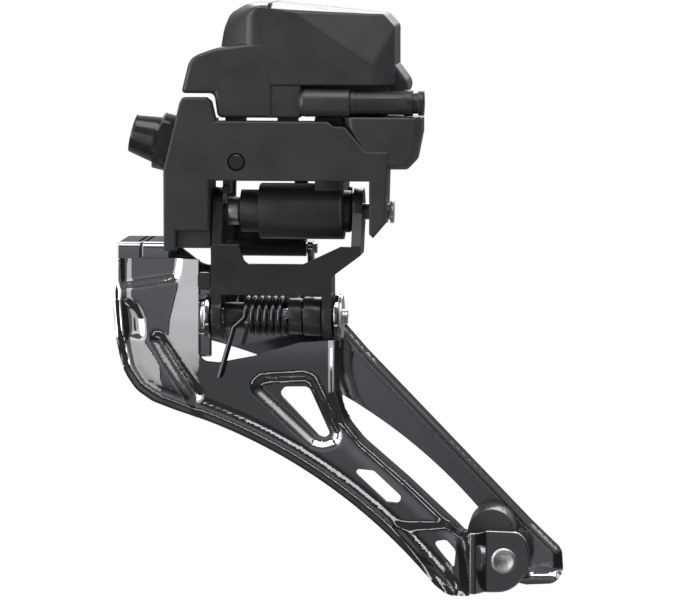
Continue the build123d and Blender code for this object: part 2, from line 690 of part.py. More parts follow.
def make_cable_socket():
    with BuildPart() as socket:
        rod(PORT_X[0] - 3.0, 45.9, PORT_AT, PORT_R - 0.1)
        rod(35.4, 36.3, PORT_AT, PORT_R)
        rod(45.9, 47.6, PORT_AT, PORT_R + 0.15)
        rod(47.6, 48.7, PORT_AT, PORT_R - 0.35)
        rod(48.7, PORT_X[1], PORT_AT, PORT_R)
        floor_x = PORT_X[1] - PORT_DEPTH
        rod(floor_x, PORT_X[1] + 1, PORT_AT, PORT_BORE_R, Mode.SUBTRACT)
        rod(floor_x - CONTACT_DEPTH, floor_x + 1, PORT_AT, CONTACT_R, Mode.SUBTRACT)
    return socket


def make_socket_pins():
    radius, length, pitch = SOCKET_PIN
    floor_x = PORT_X[1] - PORT_DEPTH - CONTACT_DEPTH
    with BuildPart() as pins:
        for y in (-pitch / 2, pitch / 2):
            rod(floor_x, floor_x + length, (PORT_AT[0] + y, PORT_AT[1]), radius)
    return pins


def make_socket_holder():
    with BuildPart() as holder:
        with BuildSketch(wall(HOLDER_BACK)):
            outline([(33.4, 5.5), (35.4, 5.5), (35.4, 6.0), (49.6, 6.0), (49.3, 3.7), (48.4, 1.7),
                     (47.1, -0.5), (43.0, -0.5), (42.2, 1.8), (41.2, 2.8), (37.6, 2.9), (36.4, 4.1),
                     (35.2, 5.1), (33.4, 5.4)])
        extrude(amount=HOLDER_DEPTH)
        with BuildSketch(wall(1.0)):
            outline([(43.1, -0.4), (47.1, -0.4), (47.1, -2.9), (46.2, -3.8), (43.1, -4.6)])
        extrude(amount=8.0)
    return holder


# ---- inner link -----------------------------------------------------------------------------------
def make_inner_link():
    lower_y, lower_z = PIVOT_DOWN_IN
    with BuildPart() as link:
        # left flange, from one pivot to the other
        with BuildSketch(across(LINK_LEFT_X)):
            with Locations(PIVOT_UP_IN, PIVOT_DOWN_IN):
                Circle(LINK_EAR_R)
            outline([(LINK_EAR_R, PIVOT_UP_IN[1]), (lower_y + LINK_EAR_R, lower_z),
                     (WEB_FRONT + 1, lower_z), (WEB_FRONT, WEB_Z[0]), (WEB_FRONT, WEB_Z[1]),
                     (-LINK_EAR_R, PIVOT_UP_IN[1])])
        extrude(amount=LINK_T)
        # upper right flange
        with BuildSketch(across(LINK_UPPER_RIGHT_X)):
            with Locations(PIVOT_UP_IN):
                Circle(LINK_EAR_R)
            outline([(LINK_EAR_R - 0.3, PIVOT_UP_IN[1] - 1), (0.5, -21.0), (WEB_FRONT, -21.0),
                     (WEB_FRONT, -19.6), (-LINK_EAR_R, PIVOT_UP_IN[1])])
        extrude(amount=LINK_T)
        # lower right flange
        with BuildSketch(across(LINK_LOWER_RIGHT_X)):
            with Locations(PIVOT_DOWN_IN):
                Circle(LINK_EAR_R)
            outline([(lower_y + LINK_EAR_R, lower_z), (0.3, -25.4), (WEB_FRONT, -25.4),
                     (WEB_FRONT, WEB_Z[0]), (lower_y - LINK_EAR_R + 0.4, lower_z)])
        extrude(amount=LINK_T)
        # slanting flange between the two right-hand ones
        right = LINK_UPPER_RIGHT_X + LINK_T
        with BuildSketch(wall(0.3)):
            outline([(LINK_LOWER_RIGHT_X, -25.4), (LINK_LOWER_RIGHT_X + LINK_T, -25.8),
                     (LINK_LOWER_RIGHT_X + LINK_T + 0.6, -25.3), (right, -21.4), (right, -20.6),
                     (LINK_UPPER_RIGHT_X, -20.6), (LINK_UPPER_RIGHT_X - 0.4, -21.3)])
        extrude(amount=0.3 - WEB_FRONT)
        # web, with the shoulder that widens it beside each flange
        with BuildSketch(wall(WEB_FRONT + WEB_T)):
            outline([(LINK_LEFT_X, -19.5), (13.2, -19.5), (14.2, -22.6), (15.0, WEB_Z[1]),
                     (26.0, WEB_Z[1]), (33.4, -19.8), (LINK_UPPER_RIGHT_X + 0.5, -19.8),
                     (right - 0.6, -21.6),
                     (LINK_LOWER_RIGHT_X + LINK_T, -25.6), (LINK_LOWER_RIGHT_X + LINK_T, WEB_Z[0]),
                     (LINK_LEFT_X, WEB_Z[0])])
        extrude(amount=WEB_T)
        for x in (LINK_LEFT_X, LINK_UPPER_RIGHT_X):
            rod(x - 1, x + LINK_T + 1, PIVOT_UP_IN, SHAFT_R, Mode.SUBTRACT)
        for x in (LINK_LEFT_X, LINK_LOWER_RIGHT_X):
            rod(x - 1, x + LINK_T + 1, PIVOT_DOWN_IN, LOWER_PIN_R + PIN_GAP, Mode.SUBTRACT)
    return link


# ---- outer link ------------------------------------------------------------------------------------
def along_outer_link(share, out):
    """A point that share of the way down the outer link, out from its pivot line towards +Y."""
    return (PIVOT_UP_OUT[0] + LINK_STEP[0] * share + out, PIVOT_UP_OUT[1] + LINK_STEP[1] * share)


def make_outer_link():
    x0, x1 = OUTER_LINK_X
    with BuildPart() as link:
        for start in (x0, x1 - OUTER_LINK_ARM):
            with BuildSketch(across(start)):
                with Locations(PIVOT_UP_OUT):
                    Circle(OUTER_EYE_R)
                with Locations(PIVOT_DOWN_OUT):
                    Circle(OUTER_LOW_EYE_R)
                outline([along_outer_link(0, -0.6), along_outer_link(0, 1.4), along_outer_link(1, 1.4),
                         along_outer_link(1, -0.6)])
            extrude(amount=OUTER_LINK_ARM)
        rod(x0, x1, PIVOT_UP_OUT, OUTER_EYE_R)
        rod(x0, x1, PIVOT_DOWN_OUT, OUTER_LOW_EYE_R)
        for top, bottom in ((0.0, 0.22), (0.72, 1.0)):
            with BuildSketch(across(x0)):
                outline([along_outer_link(top, 0), along_outer_link(top, OUTER_WEB_T),
                         along_outer_link(bottom, OUTER_WEB_T), along_outer_link(bottom, 0)])
            extrude(amount=x1 - x0)
        rod(x0 - 1, x1 + 1, PIVOT_UP_OUT, OUTER_PIN_R + PIN_GAP, Mode.SUBTRACT)
        rod(x0 - 1, x1 + 1, PIVOT_DOWN_OUT, OUTER_PIN_R + OPEN_PIVOT_GAP, Mode.SUBTRACT)
    return link


# ---- cage --------------------------------------------------------------------------------------------
def arc_z(centre, radius, x):
    return centre[1] + (radius ** 2 - (x - centre[0]) ** 2) ** 0.5


INNER_ARC_AT = (-32.3, -157.5)
OUTER_ARC_AT = (-20.8, -144.4)
TAIL_X0, TAIL_X1 = 59.0, 61.8       # where the inner plate's tail bends inwards and straightens
TAIL_FOOT, TAIL_TOP = -89.9, -77.0
EAR_ROOT = -39.5                    # where the cage's pivot ears leave the plate
INNER_WINDOWS = (
    ((20.9, -49.8), (22.0, -48.0), (26.9, -48.0), (31.0, -57.6), (30.2, -58.4), (28.8, -58.1)),
    ((36.4, -65.4), (39.8, -64.7), (45.2, -70.0), (44.8, -71.0), (42.6, -71.0)),
    ((51.7, -79.2), (54.6, -78.7), (56.2, -80.4), (56.0, -83.6), (51.7, -79.9)),
)


def make_inner_plate():
    back = INNER_Y + PLATE_T
    heel = (4.0, arc_z(INNER_ARC_AT, INNER_ARC_R, 4.0))
    toe = (52.0, arc_z(INNER_ARC_AT, INNER_ARC_R, 52.0))
    right = CAGE_EAR_RIGHT_X + PLATE_T
    left = CAGE_LUG_X
    with BuildPart() as plate:
        with BuildSketch(wall(back)):
            with BuildLine():
                RadiusArc(heel, toe, INNER_ARC_R)
                Polyline(toe, (54.6, -90.0), (TAIL_X0, TAIL_FOOT), (TAIL_X0, TAIL_TOP), (57.4, -75.4),
                         (47.0, -65.7), (38.2, -58.1), (35.2, -54.5), (right, -49.9), (right, -37.2))
                Polyline((right, -37.2), (CAGE_EAR_RIGHT_X, -37.2), (CAGE_EAR_RIGHT_X, -39.2),
                         (25.4, -39.2), (24.2, -39.9), (15.8, -41.9), (9.7, -43.3), (6.6, -43.4),
                         (left + 0.5, -42.7), (left, -41.1), (left, -22.7), (-10.4, -22.3),
                         (-12.6, -23.6), (-12.6, -31.0), (-12.0, -38.7), (-11.0, -44.7), (-8.6, -48.9),
                         (-4.0, -51.7), heel)
            make_face()
            for points in INNER_WINDOWS:
                with BuildLine():
                    Polyline(*points, close=True)
                make_face(mode=Mode.SUBTRACT)
        extrude(amount=PLATE_T)
        # joggled tail that carries the rivet
        with BuildSketch(Plane.XY.offset(TAIL_FOOT)):
            outline([(TAIL_X0, INNER_Y), (TAIL_X1, TAIL_TAB_Y - PLATE_T), (TAIL_X1, TAIL_TAB_Y),
                     (TAIL_X0, back)])
        extrude(amount=TAIL_TOP - TAIL_FOOT)
        with BuildSketch(wall(TAIL_TAB_Y)):
            outline([(TAIL_X1, TAIL_TOP), (TAIL_X1, TAIL_FOOT), (64.0, -89.2), (70.4, -86.6),
                     (70.6, -80.0), (66.0, -77.2)])
            with Locations(TAIL_RIVET_AT):
                Circle(TAIL_RIVET_R - 0.6, mode=Mode.SUBTRACT)
        extrude(amount=PLATE_T)
        # pivot ears
        for x in (CAGE_EAR_LEFT_X, CAGE_EAR_RIGHT_X):
            with BuildSketch(across(x)):
                with Locations(PIVOT_DOWN_IN):
                    Circle(CAGE_EAR_R)
                outline([(INNER_Y, EAR_ROOT), (back, EAR_ROOT),
                         (PIVOT_DOWN_IN[0] + CAGE_EAR_R, PIVOT_DOWN_IN[1]),
                         (PIVOT_DOWN_IN[0] - CAGE_EAR_R, PIVOT_DOWN_IN[1])])
            extrude(amount=PLATE_T)
            rod(x - 1, x + PLATE_T + 1, PIVOT_DOWN_IN, LOWER_PIN_R, Mode.SUBTRACT)
        for low, high in ((-40.0, -37.2), (-31.0, -28.4)):
            box_between((left, INNER_Y, low), (CAGE_EAR_LEFT_X + PLATE_T, back, high))
        rod(left, CAGE_EAR_LEFT_X + PLATE_T + 1, PIVOT_DOWN_IN, LOWER_PIN_R, Mode.SUBTRACT)
    return plate


def make_outer_plate():
    nose_x = BRIDGE_X[0] - 0.4
    heel = (nose_x, arc_z(OUTER_ARC_AT, OUTER_ARC_R, nose_x))
    toe = (63.0, arc_z(OUTER_ARC_AT, OUTER_ARC_R, 63.0))
    with BuildPart() as plate:
        with BuildSketch(wall(OUTER_Y + PLATE_T)):
            with BuildLine():
                RadiusArc(heel, toe, OUTER_ARC_R)
                Polyline(toe, (66.5, -88.6), (70.0, -89.3), (76.2, -89.0), (77.4, -87.6), (77.1, -82.4),
                         (71.0, -76.6), (37.4, -41.8), (33.2, -37.0), (28.5, -28.0), (13.0, -26.0),
                         (4.0, -25.0), (BRIDGE_X[1], BRIDGE_TOP), (nose_x, BRIDGE_TOP), heel)
            make_face()
            with Locations(TAIL_RIVET_AT):
                Circle(TAIL_RIVET_R - 0.6, mode=Mode.SUBTRACT)
        extrude(amount=PLATE_T)
        # ears of the open pivot
        for x in (OUTER_LINK_X[0] - SIDE_GAP - PLATE_T, OUTER_LINK_X[1] + SIDE_GAP):
            with BuildSketch(across(x)):
                with Locations(PIVOT_DOWN_OUT):
                    Circle(OUTER_PIN_R + 0.9)
                outline([(PIVOT_DOWN_OUT[0] - 2.0, PIVOT_DOWN_OUT[1]),
                         (PIVOT_DOWN_OUT[0] + 2.0, PIVOT_DOWN_OUT[1]),
                         (OUTER_Y + PLATE_T, PIVOT_DOWN_OUT[1] - 2), (OUTER_Y + PLATE_T, -28.5),
                         (OUTER_Y, -28.5)])
            extrude(amount=PLATE_T)
        rod(OUTER_LINK_X[0] - 3, OUTER_LINK_X[1] + 3, PIVOT_DOWN_OUT, OUTER_PIN_R, Mode.SUBTRACT)
    return plate


def make_bridge():
    """Folded strap over the chain at the front of the cage."""
    with BuildPart() as bridge:
        box_between((BRIDGE_X[0], INNER_Y, BRIDGE_TOP - PLATE_T), (BRIDGE_X[1], OUTER_Y, BRIDGE_TOP))
        tabs = ((BRIDGE_X[0], BRIDGE_X[0] + 4.4, -27.5), (BRIDGE_X[0] + 4.8, BRIDGE_X[1], -23.0))
        for x0, x1, foot in tabs:
            box_between((x0, INNER_Y - BRIDGE_TAB_T, foot), (x1, INNER_Y, BRIDGE_TOP))
        fillet(bridge.edges().filter_by(Axis.X).sort_by(Axis.Z)[-1], 0.1)
    return bridge


def make_lower_pin():
    with BuildPart() as pin:
        rod(CAGE_EAR_LEFT_X - 0.8, CAGE_EAR_RIGHT_X + PLATE_T + 1.4, PIVOT_DOWN_IN, LOWER_PIN_R)
        rod(CAGE_EAR_LEFT_X - 0.8, CAGE_EAR_LEFT_X, PIVOT_DOWN_IN, LOWER_PIN_R + 1.2)
    return pin


def make_stop_block():
    """Bumper on the cage, above the pin's head, that meets the bracket's foot at the end of travel."""
    with BuildPart() as block:
        box_between((CAGE_LUG_X, INNER_Y - 1.6, -28.4), (CAGE_EAR_LEFT_X + PLATE_T, INNER_Y, -25.2))
        fillet(block.edges().filter_by(Axis.Y), 0.6)
    return block


def make_pin_clip():
    with BuildPart() as clip:
        x = CAGE_EAR_RIGHT_X + PLATE_T
        tube(x, x + 0.5, PIVOT_DOWN_IN, CAGE_EAR_R - 0.3, LOWER_PIN_R)
    return clip


def make_pin_collars():
    first_x = LINK_LEFT_X + LINK_T + SHOULDER_GAP
    last_x = LINK_LOWER_RIGHT_X - SIDE_GAP
    with BuildPart() as collars:
        for x0, x1, r in ((first_x, 14.0, 2.7), (22.9, 25.7, 3.6), (26.0, last_x, 3.9)):
            tube(x0, x1, PIVOT_DOWN_IN, r, LOWER_PIN_R)
    return collars


def make_outer_low_pin():
    with BuildPart() as pin:
        rod(OUTER_LINK_X[0] - 2.2, OUTER_LINK_X[1] + 2.2, PIVOT_DOWN_OUT, OUTER_PIN_R)
    return pin


def make_return_spring():
    height = SPRING_PITCH * SPRING_TURNS
    with BuildPart() as spring:
        with BuildLine() as coil:
            Helix(SPRING_PITCH, height, SPRING_R, center=(SPRING_X, *PIVOT_DOWN_IN), direction=(1, 0, 0))
        with BuildSketch(Plane(origin=coil.line @ 0, z_dir=coil.line % 0)):
            Circle(SPRING_WIRE_R)
        sweep(is_frenet=True)
    return spring


def make_tail_spacer():
    with BuildPart() as spacer:
        with BuildSketch(wall(OUTER_Y)):
            with Locations(TAIL_RIVET_AT, (TAIL_RIVET_AT[0] - 2.6, TAIL_RIVET_AT[1] + 5.4)):
                Circle(TAIL_SPACER_R)
            with Locations(TAIL_RIVET_AT):
                Circle(TAIL_RIVET_R - 0.6, mode=Mode.SUBTRACT)
        extrude(amount=OUTER_Y - TAIL_TAB_Y)
    return spacer


def make_tail_rivet():
    inner = TAIL_TAB_Y - PLATE_T
    with BuildPart() as rivet:
        with BuildSketch(wall(OUTER_Y + PLATE_T + 0.6)):
            with Locations(TAIL_RIVET_AT):
                Circle(TAIL_RIVET_R - 0.6)
        extrude(amount=OUTER_Y + PLATE_T + 0.6 - inner)
        for y in (inner, OUTER_Y + PLATE_T + 0.7):
            with BuildSketch(wall(y)):
                with Locations(TAIL_RIVET_AT):
                    Circle(TAIL_RIVET_R)
            extrude(amount=0.7)
    return rivet


save("bracket", make_bracket())
save("fixing_bolt", make_fixing_bolt())
save("radius_washer", make_radius_washer())
save("support_bolt", make_support_bolt())
save("stroke_screw", make_stroke_screw())
save("shaft_bushes", make_shaft_bushes())
save("outer_link_upper_pin", make_outer_pin())
save("output_housing", make_output_housing())
save("gearbox_cover", make_gearbox_cover())
save("gearbox_screws", make_cover_screws())
save("barrel_bushes", make_barrel_bushes())
save("shaft_seal", make_shaft_seal())
save("output_shaft", make_output_shaft())
save("output_collar", make_output_collar())
save("output_gear", make_output_gear())
save("second_gear", make_compound(STAGE_X[0], STAGE_X[1], wheel_2_at, turn_2))
save("first_gear", make_compound(STAGE_X[1], STAGE_X[2], wheel_1_at, turn_1))
save("gear_axles", make_gear_axles())
save("sensor_magnet", make_sensor_magnet())
save("position_sensor", make_position_sensor())
save("left_cover", make_left_cover())
save("motor_case", make_motor_case())
save("unit_gasket", make_unit_gasket())
save("motor_can", make_motor_can())
save("motor_cradle", make_motor_mount())
save("motor_pinion", make_motor_pinion())
save("circuit_board", make_circuit_board())
save("board_chips", make_board_parts())
save("unit_screws", make_unit_screws())
save("cable_socket", make_cable_socket())
save("socket_pins", make_socket_pins())
save("socket_holder", make_socket_holder())
save("inner_link", make_inner_link())
save("outer_link", make_outer_link())
save("inner_plate", make_inner_plate())
save("outer_plate", make_outer_plate())
save("cage_bridge", make_bridge())
save("stop_block", make_stop_block())
save("lower_pin", make_lower_pin())
save("pin_clip", make_pin_clip())
save("pin_collars", make_pin_collars())
save("outer_link_lower_pin", make_outer_low_pin())
save("return_spring", make_return_spring())
save("tail_spacer", make_tail_spacer())
save("tail_rivet", make_tail_rivet())
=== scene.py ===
"""Looks of an electrically driven front derailleur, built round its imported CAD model. Metres."""
import json
import math

import bmesh
import bpy
from mathutils import Matrix, Vector

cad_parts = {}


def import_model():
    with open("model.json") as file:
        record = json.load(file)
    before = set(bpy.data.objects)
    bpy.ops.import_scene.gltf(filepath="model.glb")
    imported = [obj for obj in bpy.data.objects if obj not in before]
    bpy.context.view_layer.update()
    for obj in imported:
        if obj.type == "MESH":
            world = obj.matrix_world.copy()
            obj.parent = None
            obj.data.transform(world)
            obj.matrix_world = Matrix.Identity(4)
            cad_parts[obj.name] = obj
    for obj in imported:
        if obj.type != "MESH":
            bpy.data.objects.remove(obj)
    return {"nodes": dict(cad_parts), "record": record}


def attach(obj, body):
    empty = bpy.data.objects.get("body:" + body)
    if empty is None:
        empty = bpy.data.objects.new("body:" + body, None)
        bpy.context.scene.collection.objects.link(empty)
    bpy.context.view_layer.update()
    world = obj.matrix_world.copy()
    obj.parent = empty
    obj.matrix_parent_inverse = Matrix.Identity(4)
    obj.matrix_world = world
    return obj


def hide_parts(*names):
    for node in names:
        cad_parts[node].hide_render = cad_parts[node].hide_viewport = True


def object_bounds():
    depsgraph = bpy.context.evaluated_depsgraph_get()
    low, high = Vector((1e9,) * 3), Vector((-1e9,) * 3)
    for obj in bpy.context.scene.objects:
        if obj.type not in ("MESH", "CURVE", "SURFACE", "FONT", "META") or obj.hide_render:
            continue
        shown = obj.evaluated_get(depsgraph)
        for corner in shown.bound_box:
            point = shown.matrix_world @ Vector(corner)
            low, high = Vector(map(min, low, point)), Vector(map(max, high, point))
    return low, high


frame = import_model()
cad_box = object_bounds()
MM = 0.001


# ---- shader arithmetic -----------------------------------------------------------------------
class Value:
    """A shader socket that takes part in Python arithmetic; every operator adds one Math node."""

    def __init__(self, finish, socket):
        self.finish = finish
        self.socket = socket

    def _math(self, operation, *values):
        return self.finish.node("ShaderNodeMath", {"operation": operation}, dict(enumerate(values)))

    def __add__(self, other):
        return self._math("ADD", self, other)

    def __mul__(self, other):
        return self._math("MULTIPLY", self, other)

    __radd__ = __add__
    __rmul__ = __mul__


MIX_RESULT, MIX_DARK, MIX_LIGHT = 2, 6, 7    # a Mix node's sockets when it mixes colours


class Finish:
    """One material under construction."""

    def __init__(self, name, color, roughness, **uniform):
        self.material = bpy.data.materials.new(name)
        self.material.use_nodes = True
        self.tree = self.material.node_tree
        self.shader = self.tree.nodes["Principled BSDF"]
        self.shader.inputs["Base Color"].default_value = (*color, 1)
        self.shader.inputs["Roughness"].default_value = roughness
        for socket, value in uniform.items():
            self.shader.inputs[socket.replace("_", " ")].default_value = value
        self.place = self.node("ShaderNodeTexCoord", output="Object")

    def node(self, kind, settings=None, inputs=None, output=0):
        made = self.tree.nodes.new(kind)
        for key, value in (settings or {}).items():
            setattr(made, key, value)
        for key, value in (inputs or {}).items():
            if isinstance(value, Value):
                self.tree.links.new(value.socket, made.inputs[key])
            else:
                made.inputs[key].default_value = value
        return Value(self, made.outputs[output])

    def noise(self, size, detail=2.0, stretch=(1, 1, 1)):
        """Noise from 0 to 1 whose blobs are about size millimetres across."""
        place = self.node("ShaderNodeVectorMath", {"operation": "MULTIPLY"},
                          {0: self.place, 1: tuple(stretch)})
        return self.node("ShaderNodeTexNoise", None,
                         {"Vector": place, "Scale": 1 / (size * MM), "Detail": detail}, "Fac")

    def spread(self, value, low, high):
        """Maps the middle of a noise to the range from low to high."""
        return self.node("ShaderNodeMapRange", None, {"Value": value, "From Min": 0.3, "From Max": 0.7,
                                                      "To Min": low, "To Max": high})

    def roughness(self, value):
        self.tree.links.new(value.socket, self.shader.inputs["Roughness"])

    def color(self, mask, dark, light):
        """Base colour that goes from dark to light with the mask."""
        mix = self.node("ShaderNodeMix", {"data_type": "RGBA"},
                        {"Factor": mask, MIX_DARK: (*dark, 1), MIX_LIGHT: (*light, 1)}, MIX_RESULT)
        self.tree.links.new(mix.socket, self.shader.inputs["Base Color"])

    def bump(self, height, depth):
        """Bump whose full height is depth millimetres."""
        node = self.node("ShaderNodeBump", None, {"Height": height, "Distance": depth * MM,
                                                  "Strength": 1.0}, "Normal")
        self.tree.links.new(node.socket, self.shader.inputs["Normal"])


# ---- materials ----------------------------------------------------------------------------------
def coated(name, color, roughness, grain, depth, vary=0.05):
    """Painted, coated or moulded surface: even grain, slightly clouded gloss."""
    finish = Finish(name, color, roughness)
    cloud = finish.noise(6.0, 3.0)
    finish.roughness(finish.spread(cloud, roughness - vary, roughness + vary))
    finish.color(finish.spread(cloud, 0.0, 1.0), [c * 0.9 for c in color], [c * 1.12 for c in color])
    finish.bump(finish.noise(grain, 2.0), depth)
    return finish.material


def chrome_plate():
    finish = Finish("chrome plate", (0.5, 0.505, 0.52), 0.07, Metallic=1.0)
    haze = finish.noise(9.0, 3.0)
    hairs = finish.noise(0.5, 2.0, (1, 1, 14))
    finish.roughness(finish.spread(haze * 0.7 + hairs * 0.3, 0.05, 0.12))
    finish.bump(finish.noise(3.0, 2.0), 0.004)
    return finish.material


def steel(name, color, roughness, size=0.3):
    finish = Finish(name, color, roughness, Metallic=1.0)
    turned = finish.noise(size, 2.0, (8, 1, 1))
    finish.roughness(finish.spread(turned, roughness * 0.7, roughness * 1.4))
    finish.bump(turned, 0.004)
    return finish.material


looks = {
    "bracket_black": coated("bracket black", (0.018, 0.019, 0.021), 0.45, 0.22, 0.006),
    "case_dark_grey": coated("case grey", (0.022, 0.023, 0.025), 0.36, 0.14, 0.010),
    "moulded_black": coated("moulded black", (0.014, 0.014, 0.015), 0.42, 0.16, 0.005),
    "screw_black": coated("screw black", (0.012, 0.012, 0.013), 0.20, 0.4, 0.003),
    "coated_steel": coated("link black", (0.014, 0.014, 0.015), 0.32, 0.18, 0.008),
    "cage_chrome": chrome_plate(),
    "pin_steel": steel("turned steel", (0.82, 0.82, 0.84), 0.36),
    "spring_steel": steel("spring wire", (0.10, 0.10, 0.11), 0.30),
    "bush_bronze": steel("bronze", (0.62, 0.45, 0.25), 0.35),
    "gear_steel": steel("cut steel", (0.6, 0.6, 0.62), 0.30),
    "seal_rubber": coated("seal rubber", (0.015, 0.015, 0.015), 0.6, 0.1, 0.004),
    "board_green": coated("board green", (0.01, 0.10, 0.05), 0.35, 0.3, 0.003),
    "chip_black": coated("chip black", (0.02, 0.02, 0.02), 0.5, 0.1, 0.003),
    "spacer_dark": coated("spacer dark", (0.03, 0.03, 0.033), 0.35, 0.2, 0.006),
}
slot_of = {row["node"]: row["material_slot"] for row in frame["record"]["subparts"]}


def paint(piece, slot):
    piece.data.materials.clear()
    piece.data.materials.append(looks[slot])


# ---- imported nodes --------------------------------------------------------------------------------
PLAIN_EDGE = 0.12           # width of the broken edges, in millimetres
SOFT_EDGES = {"bracket": 0.35, "inner_link": 0.35, "outer_link": 0.3, "cable_socket": 0.25,
              "output_housing": 0.3}
EDGE_TURN = math.radians(40)


def finish_node(name, node):
    """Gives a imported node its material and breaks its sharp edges."""
    paint(node, slot_of[name])
    weld = node.modifiers.new("weld", "WELD")
    weld.merge_threshold = 0.002 * MM
    edge = node.modifiers.new("edges", "BEVEL")
    edge.width = SOFT_EDGES.get(name, PLAIN_EDGE) * MM
    edge.segments = 2
    edge.limit_method = "ANGLE"
    edge.angle_limit = EDGE_TURN
    edge.harden_normals = True


for node_name, cad_node in frame["nodes"].items():
    finish_node(node_name, cad_node)


# ---- shaping tools, in millimetres -------------------------------------------------------------------
def front(y):
    """Places (x, z) in the upright plane at depth y."""
    return lambda x, z: Vector((x, y, z))


def side(x):
    """Places (y, z) in the upright plane across the object at x."""
    return lambda y, z: Vector((x, y, z))


def round_corner(bm, corner, radius):
    """Rounds one corner of a flat face."""
    one, other = [edge.other_vert(corner).co - corner.co for edge in corner.link_edges]
    reach = radius / math.tan(one.angle(other) / 2)
    reach = min(reach, 0.48 * one.length, 0.48 * other.length)
    bmesh.ops.bevel(bm, geom=[corner], offset=reach, offset_type="OFFSET", affect="VERTICES",
                    segments=6, profile=0.5, material=-1)


def flat_face(points, lift):
    """A new mesh with one flat face. A point is two coordinates, with a radius if its corner is round."""
    bm = bmesh.new()
    corners = [bm.verts.new(lift(*point[:2])) for point in points]
    bm.faces.new(corners)
    for corner, point in zip(corners, points):
        if len(point) == 3:
            round_corner(bm, corner, point[2])
    return bm


def round_edges(bm, radius, segments=3, sharpest=35, chosen=None):
    """Rounds the edges that turn by more than an angle, or the chosen ones among them."""
    edges = [edge for edge in bm.edges if edge.is_manifold
             and edge.calc_face_angle(0) > math.radians(sharpest) and (chosen is None or chosen(edge))]
    bmesh.ops.bevel(bm, geom=edges, offset=radius, offset_type="OFFSET", affect="EDGES",
                    segments=segments, profile=0.5, material=-1, clamp_overlap=True)


def thicken(bm, push):
    """Carries every face along push, which makes a closed solid of a flat one."""
    grown = bmesh.ops.extrude_face_region(bm, geom=bm.faces[:])["geom"]
    bmesh.ops.translate(bm, verts=[v for v in grown if isinstance(v, bmesh.types.BMVert)], vec=push)
    bmesh.ops.recalc_face_normals(bm, faces=bm.faces)


def slab(points, lift, push, edge=0.25, segments=3):
    bm = flat_face(points, lift)
    thicken(bm, push)
    if edge:
        round_edges(bm, edge, segments)
    return bm


def hull(points, edge, segments=4, sharpest=12, chosen=None):
    """The tight skin round some points, with rounded edges."""
    bm = bmesh.new()
    for point in points:
        bm.verts.new(point)
    bmesh.ops.convex_hull(bm, input=bm.verts)
    bmesh.ops.dissolve_limit(bm, angle_limit=math.radians(2), verts=bm.verts, edges=bm.edges)
    bmesh.ops.recalc_face_normals(bm, faces=bm.faces)
    round_edges(bm, edge, segments, sharpest, chosen)
    return bm


def turned(profile, at, steps=48):
    """A body turned about the X axis through the (y, z) point at; profile is (x, radius) pairs."""
    bm = bmesh.new()
    ring = [bm.verts.new((x, at[0], at[1] + radius)) for x, radius in profile]
    line = [bm.edges.new(pair) for pair in zip(ring, ring[1:])]
    bmesh.ops.spin(bm, geom=ring + line, cent=(0, *at), axis=(1, 0, 0), angle=2 * math.pi, steps=steps,
                   use_merge=True)
    bmesh.ops.remove_doubles(bm, verts=bm.verts, dist=0.001)
    bmesh.ops.recalc_face_normals(bm, faces=bm.faces)
    return bm


def piece(name, body, slot, meshes, replaces=(), sharp=30):
    """Joins the finished meshes into one object, scales it to metres and hands it to its body."""
    data = bpy.data.meshes.new(name)
    whole = bmesh.new()
    for bm in meshes:
        bm.to_mesh(data)
        bm.free()
        whole.from_mesh(data)
    bmesh.ops.scale(whole, vec=(MM, MM, MM), verts=whole.verts)
    for face in whole.faces:
        face.smooth = True
    for edge in whole.edges:
        edge.smooth = edge.calc_face_angle(math.pi) < math.radians(sharp)
    whole.to_mesh(data)
    whole.free()
    made = bpy.data.objects.new(name, data)
    bpy.context.scene.collection.objects.link(made)
    paint(made, slot)
    made.modifiers.new("flat faces stay flat", "WEIGHTED_NORMAL").keep_sharp = True
    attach(made, body)
    if replaces:
        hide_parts(*replaces)
    return made


def soft_step(low, high, value):
    """0 below low, 1 above high, and an even S between."""
    share = min(1.0, max(0.0, (value - low) / (high - low)))
    return share * share * (3 - 2 * share)


def follow(stops, value):
    """Straight runs between (value, height) stops."""
    for (v0, h0), (v1, h1) in zip(stops, stops[1:]):
        if value < v1:
            return h0 + (h1 - h0) * max(0.0, value - v0) / (v1 - v0)
    return stops[-1][1]


def distance_to(line, x, z):
    """Distance from a point to an open line of straight runs."""
    best = 1e9
    for (x0, z0), (x1, z1) in zip(line, line[1:]):
        dx, dz = x1 - x0, z1 - z0
        share = min(1.0, max(0.0, ((x - x0) * dx + (z - z0) * dz) / (dx * dx + dz * dz)))
        best = min(best, math.hypot(x - x0 - share * dx, z - z0 - share * dz))
    return best


def inward(outline, x, z):
    """How far inside a closed outline a point is; negative outside it."""
    inside = False
    for (x0, z0), (x1, z1) in zip(outline, outline[1:] + outline[:1]):
        if (z0 > z) != (z1 > z) and x < x0 + (z - z0) * (x1 - x0) / (z1 - z0):
            inside = not inside
    distance = distance_to(outline + outline[:1], x, z)
    return distance if inside else -distance


# ---- cage plates ------------------------------------------------------------------------------------
SHEET = 1.1                 # thickness of the pressed cage plates
INNER_FACE = -5.2           # inboard face of the inner plate
OUTER_FACE = 9.0            # inboard face of the outer plate
INNER_ARC = (-32.3, -157.5, 109.3)
OUTER_ARC = (-20.8, -144.4, 107.2)
RIVET_AT = (65.8, -83.1)
TAIL_BEND_X = 59.0
LOWER_AXIS = (-4.0, -34.0)  # depth and height of the cage's pin


def arc_points(arc, x0, x1, step):
    """Points of an arc's upper side from x0 to x1."""
    x, z, radius = arc
    count = round(abs(x1 - x0) / step)
    places = [x0 + (x1 - x0) * i / count for i in range(count + 1)]
    return [(u, z + math.sqrt(radius ** 2 - (u - x) ** 2)) for u in places]


